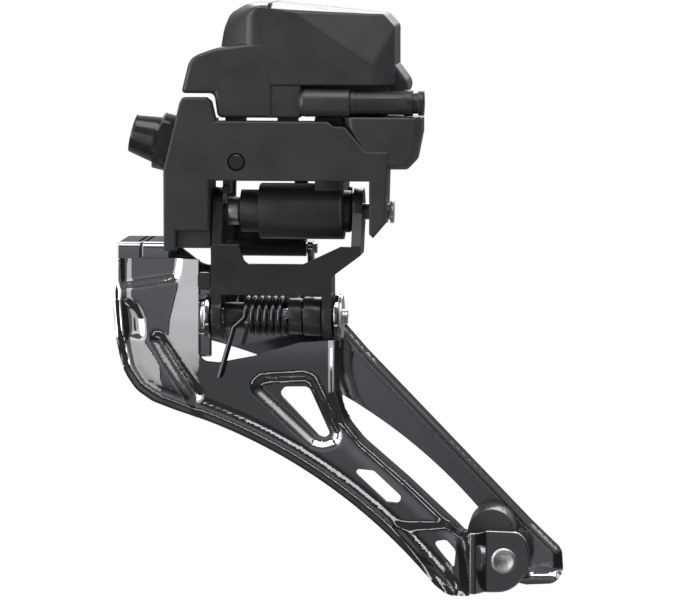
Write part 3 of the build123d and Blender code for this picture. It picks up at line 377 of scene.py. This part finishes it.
def pressed_sheet(outline, windows, rings, ring_width, step):
    """A flat sheet with windows, ringed along its edge and cut into a grid that a press can shape."""
    bm = flat_face(outline, front(0))
    face = bm.faces[:]
    for _ in range(rings):
        bmesh.ops.inset_region(bm, faces=face, thickness=ring_width, use_boundary=True,
                               use_even_offset=True)
    bmesh.ops.delete(bm, geom=face, context="FACES_ONLY")
    rim = [edge for edge in bm.edges if len(edge.link_faces) == 1]
    outer = {v for v in bm.verts if sum(1 for e in v.link_edges if e.is_boundary) == 2
             and distance_to([p[:2] for p in outline + outline[:1]], v.co.x, v.co.z) < ring_width / 2}
    rim = [edge for edge in rim if not (edge.verts[0] in outer and edge.verts[1] in outer)]
    for window in windows:
        hole = flat_face(window, front(0))
        loop = [v.co.copy() for v in hole.faces[:][0].verts]
        hole.free()
        corners = [bm.verts.new(place) for place in loop]
        rim += [bm.edges.new(pair) for pair in zip(corners, corners[1:] + corners[:1])]
    bmesh.ops.triangle_fill(bm, use_beauty=True, use_dissolve=False, edges=rim, normal=(0, -1, 0))
    for axis in (Vector((1, 0, 0)), Vector((0, 0, 1))):
        reach = [vert.co.dot(axis) for vert in bm.verts]
        cuts = int((max(reach) - min(reach)) / step)
        for i in range(1, cuts + 1):
            everything = bm.verts[:] + bm.edges[:] + bm.faces[:]
            bmesh.ops.bisect_plane(bm, geom=everything, dist=1e-4,
                                   plane_co=axis * (min(reach) + i * step), plane_no=axis)
    return bm


def press(bm, face_y, height):
    """Moves every point of a sheet to its height in front of face_y and gives the sheet its thickness."""
    around = [(0.5 * math.cos(turn), 0.5 * math.sin(turn)) for turn in (0.3, 1.35, 2.4, 3.44, 4.5, 5.5)]
    for vert in bm.verts:
        x, z = vert.co.x, vert.co.z
        heights = [height(x, z)] + [height(x + dx, z + dz) for dx, dz in around]
        vert.co.y = face_y - sum(heights) / len(heights)
    bmesh.ops.recalc_face_normals(bm, faces=bm.faces)
    if sum(face.normal.y * face.calc_area() for face in bm.faces) > 0:
        bmesh.ops.reverse_faces(bm, faces=bm.faces)
    bmesh.ops.solidify(bm, geom=bm.faces[:], thickness=SHEET)
    bmesh.ops.recalc_face_normals(bm, faces=bm.faces)


def inner_outline():
    """Outline of the inner plate seen from the inboard side, from the heel of its long arc."""
    arc = arc_points(INNER_ARC, 0.0, 52.0, 1.6)
    foot = arc_points(INNER_ARC, 52.0, 52.0 + 1.0, 1.0)[1]
    return [(-4.6, -51.4, 6), *arc, (foot[0] + 1.6, -90.0, 3), (59.0, -89.9), (59.0, -77.0),
            (57.4, -75.4), (47.0, -65.7), (38.2, -58.1, 10), (34.4, -53.4, 10), (33.2, -47.9, 8),
            (33.2, -38.4), (25.4, -39.0), (16.0, -41.9), (9.0, -43.3), (4.9, -43.0, 2.2),
            (4.9, -22.7), (-10.4, -22.3), (-12.6, -23.8), (-12.6, -31.0), (-12.0, -38.7), (-10.6, -45.4, 9),
            (-8.0, -49.2, 6)]


INNER_WINDOWS = (
    [(20.9, -49.6, 1.0), (22.0, -48.1, 1.0), (26.9, -48.0, 1.4), (31.1, -57.6, 0.9), (30.0, -58.4, 0.7),
     (28.8, -58.0, 0.8)],
    [(36.2, -65.2, 0.5), (36.8, -64.4, 0.6), (39.9, -64.7, 1.0), (45.5, -69.9, 0.8), (44.9, -71.2, 1.0),
     (42.4, -71.0, 0.8)],
    [(51.6, -79.0, 0.8), (54.4, -78.6, 1.0), (56.3, -80.6, 1.4), (56.0, -84.0, 0.7), (55.2, -83.9, 0.5)],
)
TRIANGLE_RECESS = [(15.2, -47.6), (17.2, -45.6), (26.4, -45.0), (28.3, -46.0), (33.6, -57.4), (33.0, -59.6),
                   (29.6, -60.6), (27.2, -59.9), (16.0, -49.4)]
TAIL_PANEL = [(43.6, -75.4), (54.6, -75.0), (58.6, -77.6), (62.0, -92.0), (55.0, -92.0)]
POCKET = [(-10.4, -31.0), (-7.9, -32.2), (-6.7, -34.4), (-6.4, -38.2), (-9.7, -38.6)]
FRONT_PANEL = [(-11.0, -21.0), (1.3, -21.0), (0.5, -26.4), (-11.0, -28.2)]
RAMP = [(-11.0, -38.7), (-6.0, -38.2), (-3.6, -40.4), (3.4, -51.6), (6.0, -56.0), (-14.0, -56.0)]
GROOVE = [(-3.4, -38.6), (4.2, -49.9)]
LIT_BAND = [(1.2, -22.0), (0.4, -28.0), (-1.3, -35.0), (-1.6, -40.5)]
RIGHT_EDGE = [(33.2, -36.0), (33.2, -48.9), (34.8, -53.9), (38.2, -58.1), (47.0, -65.7), (57.6, -75.6)]
NOSE_EDGE = [(-12.6, -22.0), (-12.6, -31.0), (-12.0, -38.7), (-10.6, -45.4), (-8.0, -49.2), (-4.6, -51.4),
             (0.0, -53.0)]
# the rolled rims: height at each distance in from the edge
RIM = ((0.0, -1.5), (0.5, -1.05), (1.0, -0.65), (1.5, -0.22), (2.0, 0.1), (2.5, -0.35), (3.4, -0.1),
       (4.2, 0.0))
SMALL_RIM = ((0.0, -0.5), (0.5, 0.15), (1.0, 0.35), (1.5, 0.2), (2.0, -0.2), (2.5, -0.25), (4.5, 0.0))
PANEL_DEPTH = 0.75
POCKET_DEPTH = 0.8
RAMP_SLOPE, RAMP_DROP = 0.15, 0.5
GROOVE_DEPTH = 0.9
BAND_SLOPE, BAND_END = 0.16, 5.5
STRIP_SLOPE = 0.13
RECESS_DEPTH = 1.3
TAIL_DEPTH, TAIL_LIP = 1.0, 0.45


def inner_height(x, z):
    """How far the pressed inner plate stands out towards the seat tube, from its plain face."""
    arc_x, arc_z, radius = INNER_ARC
    below = math.hypot(x - arc_x, z - arc_z) - radius if x > -4.6 else 99
    height = follow(RIM, min(below, distance_to(NOSE_EDGE, x, z)))
    height += follow(SMALL_RIM, distance_to(RIGHT_EDGE, x, z))
    # lit band beside the slot: the sheet turns to the front of the bicycle there
    edge = follow([(z0, x0) for x0, z0 in reversed(LIT_BAND)], z)
    fade = soft_step(-58.0, -40.0, z)
    height += BAND_SLOPE * max(0.0, min(x, BAND_END) - edge) * fade
    # left part: panel behind the bridge's tabs, pocket and ramp
    height -= PANEL_DEPTH * soft_step(-0.5, 0.5, inward(FRONT_PANEL, x, z))
    height -= POCKET_DEPTH * soft_step(-0.6, 0.7, inward(POCKET, x, z))
    on_ramp = soft_step(-0.4, 0.8, inward(RAMP, x, z))
    height += on_ramp * (RAMP_SLOPE * max(0.0, min(x + 9.5, 7.0)) - RAMP_DROP)
    height -= GROOVE_DEPTH * soft_step(1.5, 0.2, distance_to(GROOVE, x, z))
    # strip that leans down along the long arc
    strip = max(0.0, 4.6 - max(below, 2.2))
    height -= STRIP_SLOPE * strip * soft_step(8.0, 24.0, x) * soft_step(60, 54, x)
    # the triangular window's recess, the tail's panel and its lip beside the bend
    height -= RECESS_DEPTH * soft_step(0.0, 1.5, inward(TRIANGLE_RECESS, x, z))
    tail = inward(TAIL_PANEL, x, z)
    height -= TAIL_DEPTH * soft_step(-0.2, 1.3, tail)
    lip = soft_step(5.5, 2.5, abs(x - TAIL_BEND_X)) * soft_step(0.5, 3, tail)
    height += TAIL_LIP * lip * soft_step(TAIL_BEND_X - 0.1, TAIL_BEND_X - 2.0, x)
    return height


def inner_plate():
    """Pressed inner plate with its two pivot ears, the lugs of the left ear and the bent tail tab."""
    sheet = pressed_sheet(inner_outline(), INNER_WINDOWS, 5, 0.5, 0.5)
    press(sheet, INNER_FACE, inner_height)
    parts = [sheet]
    back = INNER_FACE + SHEET
    for x, thickness in ((6.2, 1.2), (32.0, 1.2)):
        ear = turned([(x, 0.0), (x, 4.35), (x + 0.25, 4.6), (x + thickness - 0.25, 4.6),
                      (x + thickness, 4.35), (x + thickness, 0.0)], LOWER_AXIS)
        parts.append(ear)
    parts.append(slab([(-8.2, -34.0), (0.6, -34.0), (back, -40.2), (INNER_FACE, -40.2)], side(32.0),
                      (1.2, 0, 0)))
    for low, high in ((-42.2, -37.4), (-30.6, -28.4)):
        parts.append(slab([(4.9, low), (7.4, low), (7.4, high), (4.9, high)], front(INNER_FACE),
                          (0, SHEET, 0), 0.4))
    tab_y = -2.2
    bend = slab([(59.0, INNER_FACE + 0.3), (60.2, INNER_FACE + 0.1), (62.2, tab_y + 0.03, 1.5),
                 (62.9, tab_y + 0.03), (62.9, tab_y + 1.1), (61.6, tab_y + 1.1, 1.0), (59.0, back + 0.3)],
                lambda x, y: Vector((x, y, -89.5)), (0, 0, 12.4), 0.3)
    parts.append(bend)
    parts.append(slab([(62.0, -77.0), (62.0, -89.6, 0.6), (67.2, -89.4, 5.0), (71.4, -84.4, 5.6),
                       (70.0, -77.2, 5.6)], front(tab_y), (0, 1.1, 0), 0.3))
    return piece("inner_cage_plate", "cage", "cage_chrome", parts, ["inner_plate"], 65)


OUTER_UPPER = [(33.2, -37.0), (37.4, -41.8), (71.0, -76.6), (77.2, -82.6), (77.4, -87.6)]
OUTER_CHAMFER = ((0.0, -0.9), (0.45, -0.6), (0.9, -0.3), (1.35, 0.0), (1.8, 0.05), (2.4, 0.0))
TOE_FOLD_Z = -77.6
TOE_RETURN_Z = -86.6


def outer_height(x, z):
    height = follow(OUTER_CHAMFER, distance_to(OUTER_UPPER, x, z))
    height += 0.07 * max(0.0, min(TOE_FOLD_Z - z, 9.0)) * soft_step(58, 64, x)
    height += 1.2 * soft_step(TOE_RETURN_Z + 0.2, TOE_RETURN_Z - 1.6, z) * soft_step(62, 64, x)
    return height


def outer_plate():
    """Outer plate, chamfered along its upper edge, with the ears of the outer link's lower pin."""
    arc = arc_points(OUTER_ARC, -11.6, 63.0, 1.6)
    outline = [*arc, (66.5, -88.8), (70.0, -89.5), (75.6, -89.2, 2.4), (77.4, -87.0, 2.4),
               (77.1, -82.4, 2.5), (71.0, -76.6), (37.4, -41.8), (33.2, -37.0), (28.5, -28.0, 3),
               (13.0, -26.0), (4.0, -25.0, 4), (-2.6, -19.9), (-11.6, -19.9)]
    sheet = pressed_sheet(outline, (), 4, 0.45, 1.2)
    press(sheet, OUTER_FACE, outer_height)
    ears = [slab([(6.2, -21.4), (6.2, -20.0, 1.9), (10.0, -20.0, 1.9), (10.1, -30.0), (9.0, -30.0)], side(x),
                 (1.2, 0, 0), 0.2) for x in (6.5, 25.5)]
    return piece("outer_cage_plate", "cage", "cage_chrome", [sheet, *ears], ["outer_plate"], 65)


def cage_bridge():
    """Folded strap over the chain; its two tabs roll down over the inner plate."""
    top, low = -19.3, -22.5
    roll = [(9.0, top), (INNER_FACE - 1.2, top, 1.1), (INNER_FACE - 1.2, low), (INNER_FACE - 0.1, low),
            (INNER_FACE - 0.1, top - 1.2, 0.5), (9.0, top - 1.2)]
    first = slab(roll, side(-11.2), (4.5, 0, 0), 0.2, 4)
    second = slab([(9.0, top), (INNER_FACE - 0.9, top, 1.4), (INNER_FACE - 0.9, low, 0.4),
                   (INNER_FACE, low), (INNER_FACE, top - 1.4, 0.6), (9.0, top - 1.2)], side(-6.3),
                  (5.4, 0, 0), 0.2, 4)
    strap = slab([(-7.6, -4.2), (-5.4, -4.2), (-5.4, 9.0), (-7.6, 9.0)],
                 lambda x, y: Vector((x, y, top)), (0, 0, -1.2), 0.15)
    return piece("cage_bridge_strap", "cage", "cage_chrome", [first, second, strap], ["cage_bridge"])


def return_spring():
    """Torsion spring: a round wire helix whose front leg runs down over the inner plate."""
    turns, pitch, radius, wire, x0 = 6.0, 1.36, 3.5, 0.56, 14.4
    steps = 30
    count = int(turns * steps)
    line = [(x0 + pitch * i / steps, LOWER_AXIS[0] - radius * math.cos(2 * math.pi * i / steps),
             LOWER_AXIS[1] + radius * math.sin(2 * math.pi * i / steps)) for i in range(count + 1)]
    leg = [(12.2, -7.6, -36.0), (9.3, -7.5, -46.0)]
    curve = bpy.data.curves.new("spring wire", "CURVE")
    curve.dimensions = "3D"
    curve.bevel_depth = wire
    curve.bevel_resolution = 3
    curve.use_fill_caps = True
    spline = curve.splines.new("POLY")
    places = [*reversed(leg), *line]
    spline.points.add(len(places) - 1)
    for point, place in zip(spline.points, places):
        point.co = (*place, 1)
    wired = bpy.data.objects.new("spring wire", curve)
    bm = bmesh.new()
    bm.from_mesh(wired.to_mesh())
    wired.to_mesh_clear()
    bpy.data.objects.remove(wired)
    return piece("torsion_spring", "cage", "spring_steel", [bm], ["return_spring"], 50)


def tail_rivet():
    """Rivet through the tail: a head coned inside a bright ring, its shank and its turned-over end."""
    bm = turned([(-2.5, 0.0), (-2.72, 1.6), (-2.88, 1.85), (-2.88, 2.25), (-2.6, 2.6), (-2.2, 2.6),
                 (-2.2, 1.5), (10.2, 1.5), (10.2, 2.4), (10.8, 2.2), (10.9, 0.0)], (0.0, 0.0))
    bmesh.ops.rotate(bm, cent=(0, 0, 0), matrix=Matrix.Rotation(math.pi / 2, 3, "Z"), verts=bm.verts)
    bmesh.ops.translate(bm, vec=(RIVET_AT[0], 0, RIVET_AT[1]), verts=bm.verts)
    return piece("tail_rivet_head", "cage", "pin_steel", [bm], ["tail_rivet"], 40)


# ---- drive unit -------------------------------------------------------------------------------------
SEAM = (19.0, 19.5)         # the gasket between the two casings
UNIT_FRONT, UNIT_BACK = -6.6, 14.0
BACK_STEP = 0.3             # keeps the back faces of joined forms from lying in one plane


def layers(*rings):
    """All points of several (y, outline) rings."""
    return [front(y)(x, z) for y, outline in rings for x, z in outline]


def off_the_seam(x):
    """Chooses every edge but those that lie on the casings' seam."""
    return lambda edge: any(abs(vert.co.x - x) > 0.01 for vert in edge.verts)


def left_cover():
    """Left casing: a low slab in front and a bulge that steps back above it."""
    low = slab([(1.6, 10.4), (3.2, 16.8), (4.6, 18.0), (8.6, 19.4), (19.0, 20.8), (19.0, 5.6), (8.9, 5.6),
                (8.2, 10.4)], front(UNIT_FRONT), (0, UNIT_BACK - BACK_STEP - UNIT_FRONT, 0), 0)
    chosen = off_the_seam(SEAM[0])
    round_edges(low, 1.4, 4, 8, chosen)
    back = [(8.6, 17.0), (9.6, 23.0), (10.9, 26.1), (14.6, 28.2), (19.0, 28.2)]
    face = [(15.4, 17.0), (15.4, 26.8), (17.0, 27.8), (19.0, 27.8), (19.0, 17.0)]
    bulge = hull(layers((-6.5, face), (-1.5, back), (UNIT_BACK, back + [(19.0, 17.0)])), 1.0, chosen=chosen)
    return piece("left_casing", "bracket", "case_dark_grey", [low, bulge], ["left_cover"], 40)


def motor_case():
    """Right casing: crowned behind a slanting crease, with the housing of the socket's root below."""
    chosen = off_the_seam(SEAM[1])
    ring = [(19.5, 28.2), (34.7, 26.5), (41.6, 26.0), (43.8, 23.6), (43.8, 11.9), (19.5, 11.9)]
    flat = [(19.5, 12.1), (19.5, 27.3), (23.4, 26.7), (39.6, 15.9), (40.1, 12.1)]
    crown = hull(layers((UNIT_FRONT, flat), (-2.0, ring), (UNIT_BACK, ring)), 1.0, chosen=chosen)
    corner = [(19.5, 5.6), (25.5, 5.6), (25.5, 12.2), (19.5, 12.2)]
    block = hull(layers((-6.3, corner), (6.0, corner)), 0.5, chosen=chosen)
    foot = [(19.5, 5.7), (41.6, 5.7), (43.0, 12.4), (19.5, 12.4)]
    floor = hull(layers((-2.5, foot), (UNIT_BACK - BACK_STEP, foot)), 0.8, chosen=chosen)
    lobe = slab([(41.0, 16.6), (43.6, 16.2), (46.3, 12.6), (46.3, 10.9), (42.0, 5.6), (40.0, 5.6)],
                front(-0.6), (0, UNIT_BACK, 0), 0.8, 4)
    housing = turned([(24.6, 0.0), (24.8, 1.4), (25.4, 2.3), (26.3, 2.78), (35.0, 2.78), (35.2, 2.6),
                      (35.2, 0.0)], (-5.2, 8.6))
    return piece("motor_casing", "bracket", "case_dark_grey", [crown, block, floor, lobe, housing],
                 ["motor_case"], 40)


def socket_holder():
    """Bowl under the cable socket, its face a little smaller than its rim."""
    rim = [(34.0, 5.9), (34.4, 3.4), (37.4, -2.0), (42.0, -4.5), (46.6, -4.5), (48.4, -2.6), (49.5, 3.0),
           (49.5, 5.9)]
    face = [(35.2, 5.9), (35.6, 3.6), (38.2, -1.2), (42.4, -3.6), (46.0, -3.6), (47.4, -2.0), (48.4, 3.2),
            (48.4, 5.9)]
    bowl = hull(layers((-7.7, face), (-6.2, rim), (0.9, rim)), 0.5)
    return piece("socket_cradle", "bracket", "case_dark_grey", [bowl], ["socket_holder"], 40)


inner_plate()
outer_plate()
cage_bridge()
return_spring()
tail_rivet()
left_cover()
motor_case()
socket_holder()


# ---- stage, light and camera -----------------------------------------------------------------------
def stage_plane(name, width, height, place, aim, material):
    """A flat stage piece facing the point it is aimed at."""
    bm = bmesh.new()
    bmesh.ops.create_grid(bm, x_segments=1, y_segments=1, size=0.5)
    bmesh.ops.scale(bm, vec=(width, height, 1), verts=bm.verts)
    mesh = bpy.data.meshes.new(name)
    bm.to_mesh(mesh)
    bm.free()
    plane = bpy.data.objects.new(name, mesh)
    plane.location = place
    plane.rotation_euler = (Vector(aim) - Vector(place)).to_track_quat("Z", "Y").to_euler()
    bpy.context.scene.collection.objects.link(plane)
    plane.data.materials.append(material)
    return plane


def white_to_camera(name, grey):
    """A matt stage finish that reads as plain white where it is seen directly."""
    finish = Finish(name, (grey, grey, grey), 0.9)
    glow = finish.node("ShaderNodeEmission", None, {"Color": (1, 1, 1, 1), "Strength": 1.0})
    seen = finish.node("ShaderNodeLightPath", None, None, "Is Camera Ray")
    mix = finish.tree.nodes.new("ShaderNodeMixShader")
    finish.tree.links.new(seen.socket, mix.inputs[0])
    finish.tree.links.new(finish.shader.outputs[0], mix.inputs[1])
    finish.tree.links.new(glow.socket, mix.inputs[2])
    finish.tree.links.new(mix.outputs[0], finish.tree.nodes["Material Output"].inputs["Surface"])
    return finish.material


def dark_card():
    """Grey card between the object and the camera, seen only in the bright metal."""
    finish = Finish("dark card", (0, 0, 0), 1.0)
    height = finish.node("ShaderNodeSeparateXYZ", None, {"Vector": finish.place}, "Y")
    shade = finish.node("ShaderNodeMapRange", None, {"Value": height, "From Min": -0.09, "From Max": 0.06,
                                                     "To Min": 0.10, "To Max": 0.26})
    glow = finish.node("ShaderNodeEmission", None, {"Color": (0.93, 0.96, 1, 1), "Strength": shade})
    finish.tree.links.new(glow.socket, finish.tree.nodes["Material Output"].inputs["Surface"])
    card = stage_plane("dark card", 0.26, 0.30, (-0.02, -0.45, -0.06), (0.03, 0, -0.03), finish.material)
    card.visible_camera = False
    card.visible_shadow = False
    card.visible_diffuse = False


def bright_card(name, width, height, place):
    """Soft pale card beside the dark one, seen only in metal that leans towards it."""
    finish = Finish(name, (0, 0, 0), 1.0)
    rise = finish.node("ShaderNodeSeparateXYZ", None, {"Vector": finish.place}, "Y")
    shade = finish.node("ShaderNodeMapRange", None, {"Value": rise, "From Min": -height / 2,
                                                     "From Max": height / 2, "To Min": 0.5, "To Max": 1.5})
    glow = finish.node("ShaderNodeEmission", None, {"Color": (1, 1, 1, 1), "Strength": shade})
    finish.tree.links.new(glow.socket, finish.tree.nodes["Material Output"].inputs["Surface"])
    card = stage_plane(name, width, height, place, (0.03, 0, -0.03), finish.material)
    card.visible_camera = False
    card.visible_shadow = False
    card.visible_diffuse = False


def backdrop():
    low = cad_box[0][2] - 0.25
    floor = stage_plane("floor", 8, 8, (0, 0, low), (0, 0, 1), white_to_camera("pale floor", 0.8))
    floor.visible_glossy = False
    dark_card()
    bright_card("left card", 0.24, 0.40, (-0.29, -0.42, -0.04))
    bright_card("low card", 0.50, 0.07, (0.0, -0.36, -0.34))
    bright_card("high card", 0.18, 0.18, (0.36, -0.20, 0.27))


def softbox(name, place, aim, width, height, power, mirrored=True):
    light = bpy.data.lights.new(name, "AREA")
    light.shape = "RECTANGLE"
    light.size = width
    light.size_y = height
    light.energy = power
    lamp = bpy.data.objects.new(name, light)
    lamp.location = place
    lamp.rotation_euler = (Vector(aim) - Vector(place)).to_track_quat("-Z", "Y").to_euler()
    bpy.context.scene.collection.objects.link(lamp)
    lamp.visible_glossy = mirrored


MIRRORED_SHARE = 0.22       # how much of the studio in front the metal mirrors


def world():
    """White to the camera; for reflections a studio that is dark level with the front and bright above."""
    scene_world = bpy.data.worlds.new("studio")
    bpy.context.scene.world = scene_world
    scene_world.use_nodes = True
    tree = scene_world.node_tree
    tree.nodes.clear()
    out = tree.nodes.new("ShaderNodeOutputWorld")
    place = tree.nodes.new("ShaderNodeTexCoord")
    split = tree.nodes.new("ShaderNodeSeparateXYZ")
    tree.links.new(place.outputs["Generated"], split.inputs[0])
    ramp = tree.nodes.new("ShaderNodeValToRGB")
    stops = ((0.0, 0.25), (0.30, 0.20), (0.44, 0.10), (0.56, 0.12), (0.68, 0.55), (0.86, 0.8), (1.0, 0.3))
    ramp.color_ramp.elements[0].position = 0.0
    ramp.color_ramp.elements[1].position = 1.0
    for position, grey in stops[1:-1]:
        ramp.color_ramp.elements.new(position)
    for element, (position, grey) in zip(ramp.color_ramp.elements, stops):
        element.position = position
        element.color = (grey, grey, grey, 1)
    half = tree.nodes.new("ShaderNodeMapRange")
    half.inputs["From Min"].default_value = -1
    tree.links.new(split.outputs["Z"], half.inputs["Value"])
    tree.links.new(half.outputs[0], ramp.inputs["Fac"])
    studio = tree.nodes.new("ShaderNodeBackground")
    tree.links.new(ramp.outputs[0], studio.inputs["Color"])
    ray = tree.nodes.new("ShaderNodeLightPath")
    dimmed = tree.nodes.new("ShaderNodeMapRange")
    dimmed.inputs["To Min"].default_value = 1.0
    behind = tree.nodes.new("ShaderNodeMapRange")
    behind.inputs["From Min"].default_value = -0.1
    behind.inputs["From Max"].default_value = 0.5
    behind.inputs["To Min"].default_value = MIRRORED_SHARE
    behind.inputs["To Max"].default_value = 1.6
    tree.links.new(split.outputs["Y"], behind.inputs["Value"])
    tree.links.new(behind.outputs[0], dimmed.inputs["To Max"])
    tree.links.new(ray.outputs["Is Glossy Ray"], dimmed.inputs["Value"])
    tree.links.new(dimmed.outputs[0], studio.inputs["Strength"])
    white = tree.nodes.new("ShaderNodeBackground")
    white.inputs["Color"].default_value = (1, 1, 1, 1)
    white.inputs["Strength"].default_value = 1.0
    mix = tree.nodes.new("ShaderNodeMixShader")
    tree.links.new(ray.outputs["Is Camera Ray"], mix.inputs[0])
    tree.links.new(studio.outputs[0], mix.inputs[1])
    tree.links.new(white.outputs[0], mix.inputs[2])
    tree.links.new(mix.outputs[0], out.inputs["Surface"])


def camera():
    azimuth, elevation = math.radians(5), math.radians(6)
    target = Vector((0.0327, 0.0, -0.0311))
    width, lens, sensor = 0.136, 200.0, 36.0
    back = Vector((math.sin(azimuth) * math.cos(elevation), -math.cos(azimuth) * math.cos(elevation),
                   math.sin(elevation)))
    data = bpy.data.cameras.new("camera")
    data.lens = lens
    data.sensor_width = sensor
    data.clip_start = 0.01
    eye = bpy.data.objects.new("camera", data)
    eye.location = target + back * (lens / sensor * width)
    eye.rotation_euler = back.to_track_quat("Z", "Y").to_euler()
    bpy.context.scene.collection.objects.link(eye)
    bpy.context.scene.camera = eye


backdrop()
world()
softbox("left box", (-0.50, -0.30, 0.10), (0, 0, -0.03), 0.30, 0.6, 2.6)
softbox("right box", (0.55, -0.25, 0.05), (0.03, 0, -0.03), 0.30, 0.6, 1.8, False)
softbox("top box", (0.0, -0.20, 0.55), (0.03, 0, 0.0), 0.6, 0.35, 2.6)
softbox("low box", (0.0, -0.35, -0.26), (0.03, 0, -0.04), 0.5, 0.12, 0.5, False)
softbox("back box", (0.1, 0.6, 0.3), (0.03, 0, 0.0), 0.5, 0.3, 2)
camera()
bpy.context.scene.view_settings.view_transform = "Standard"
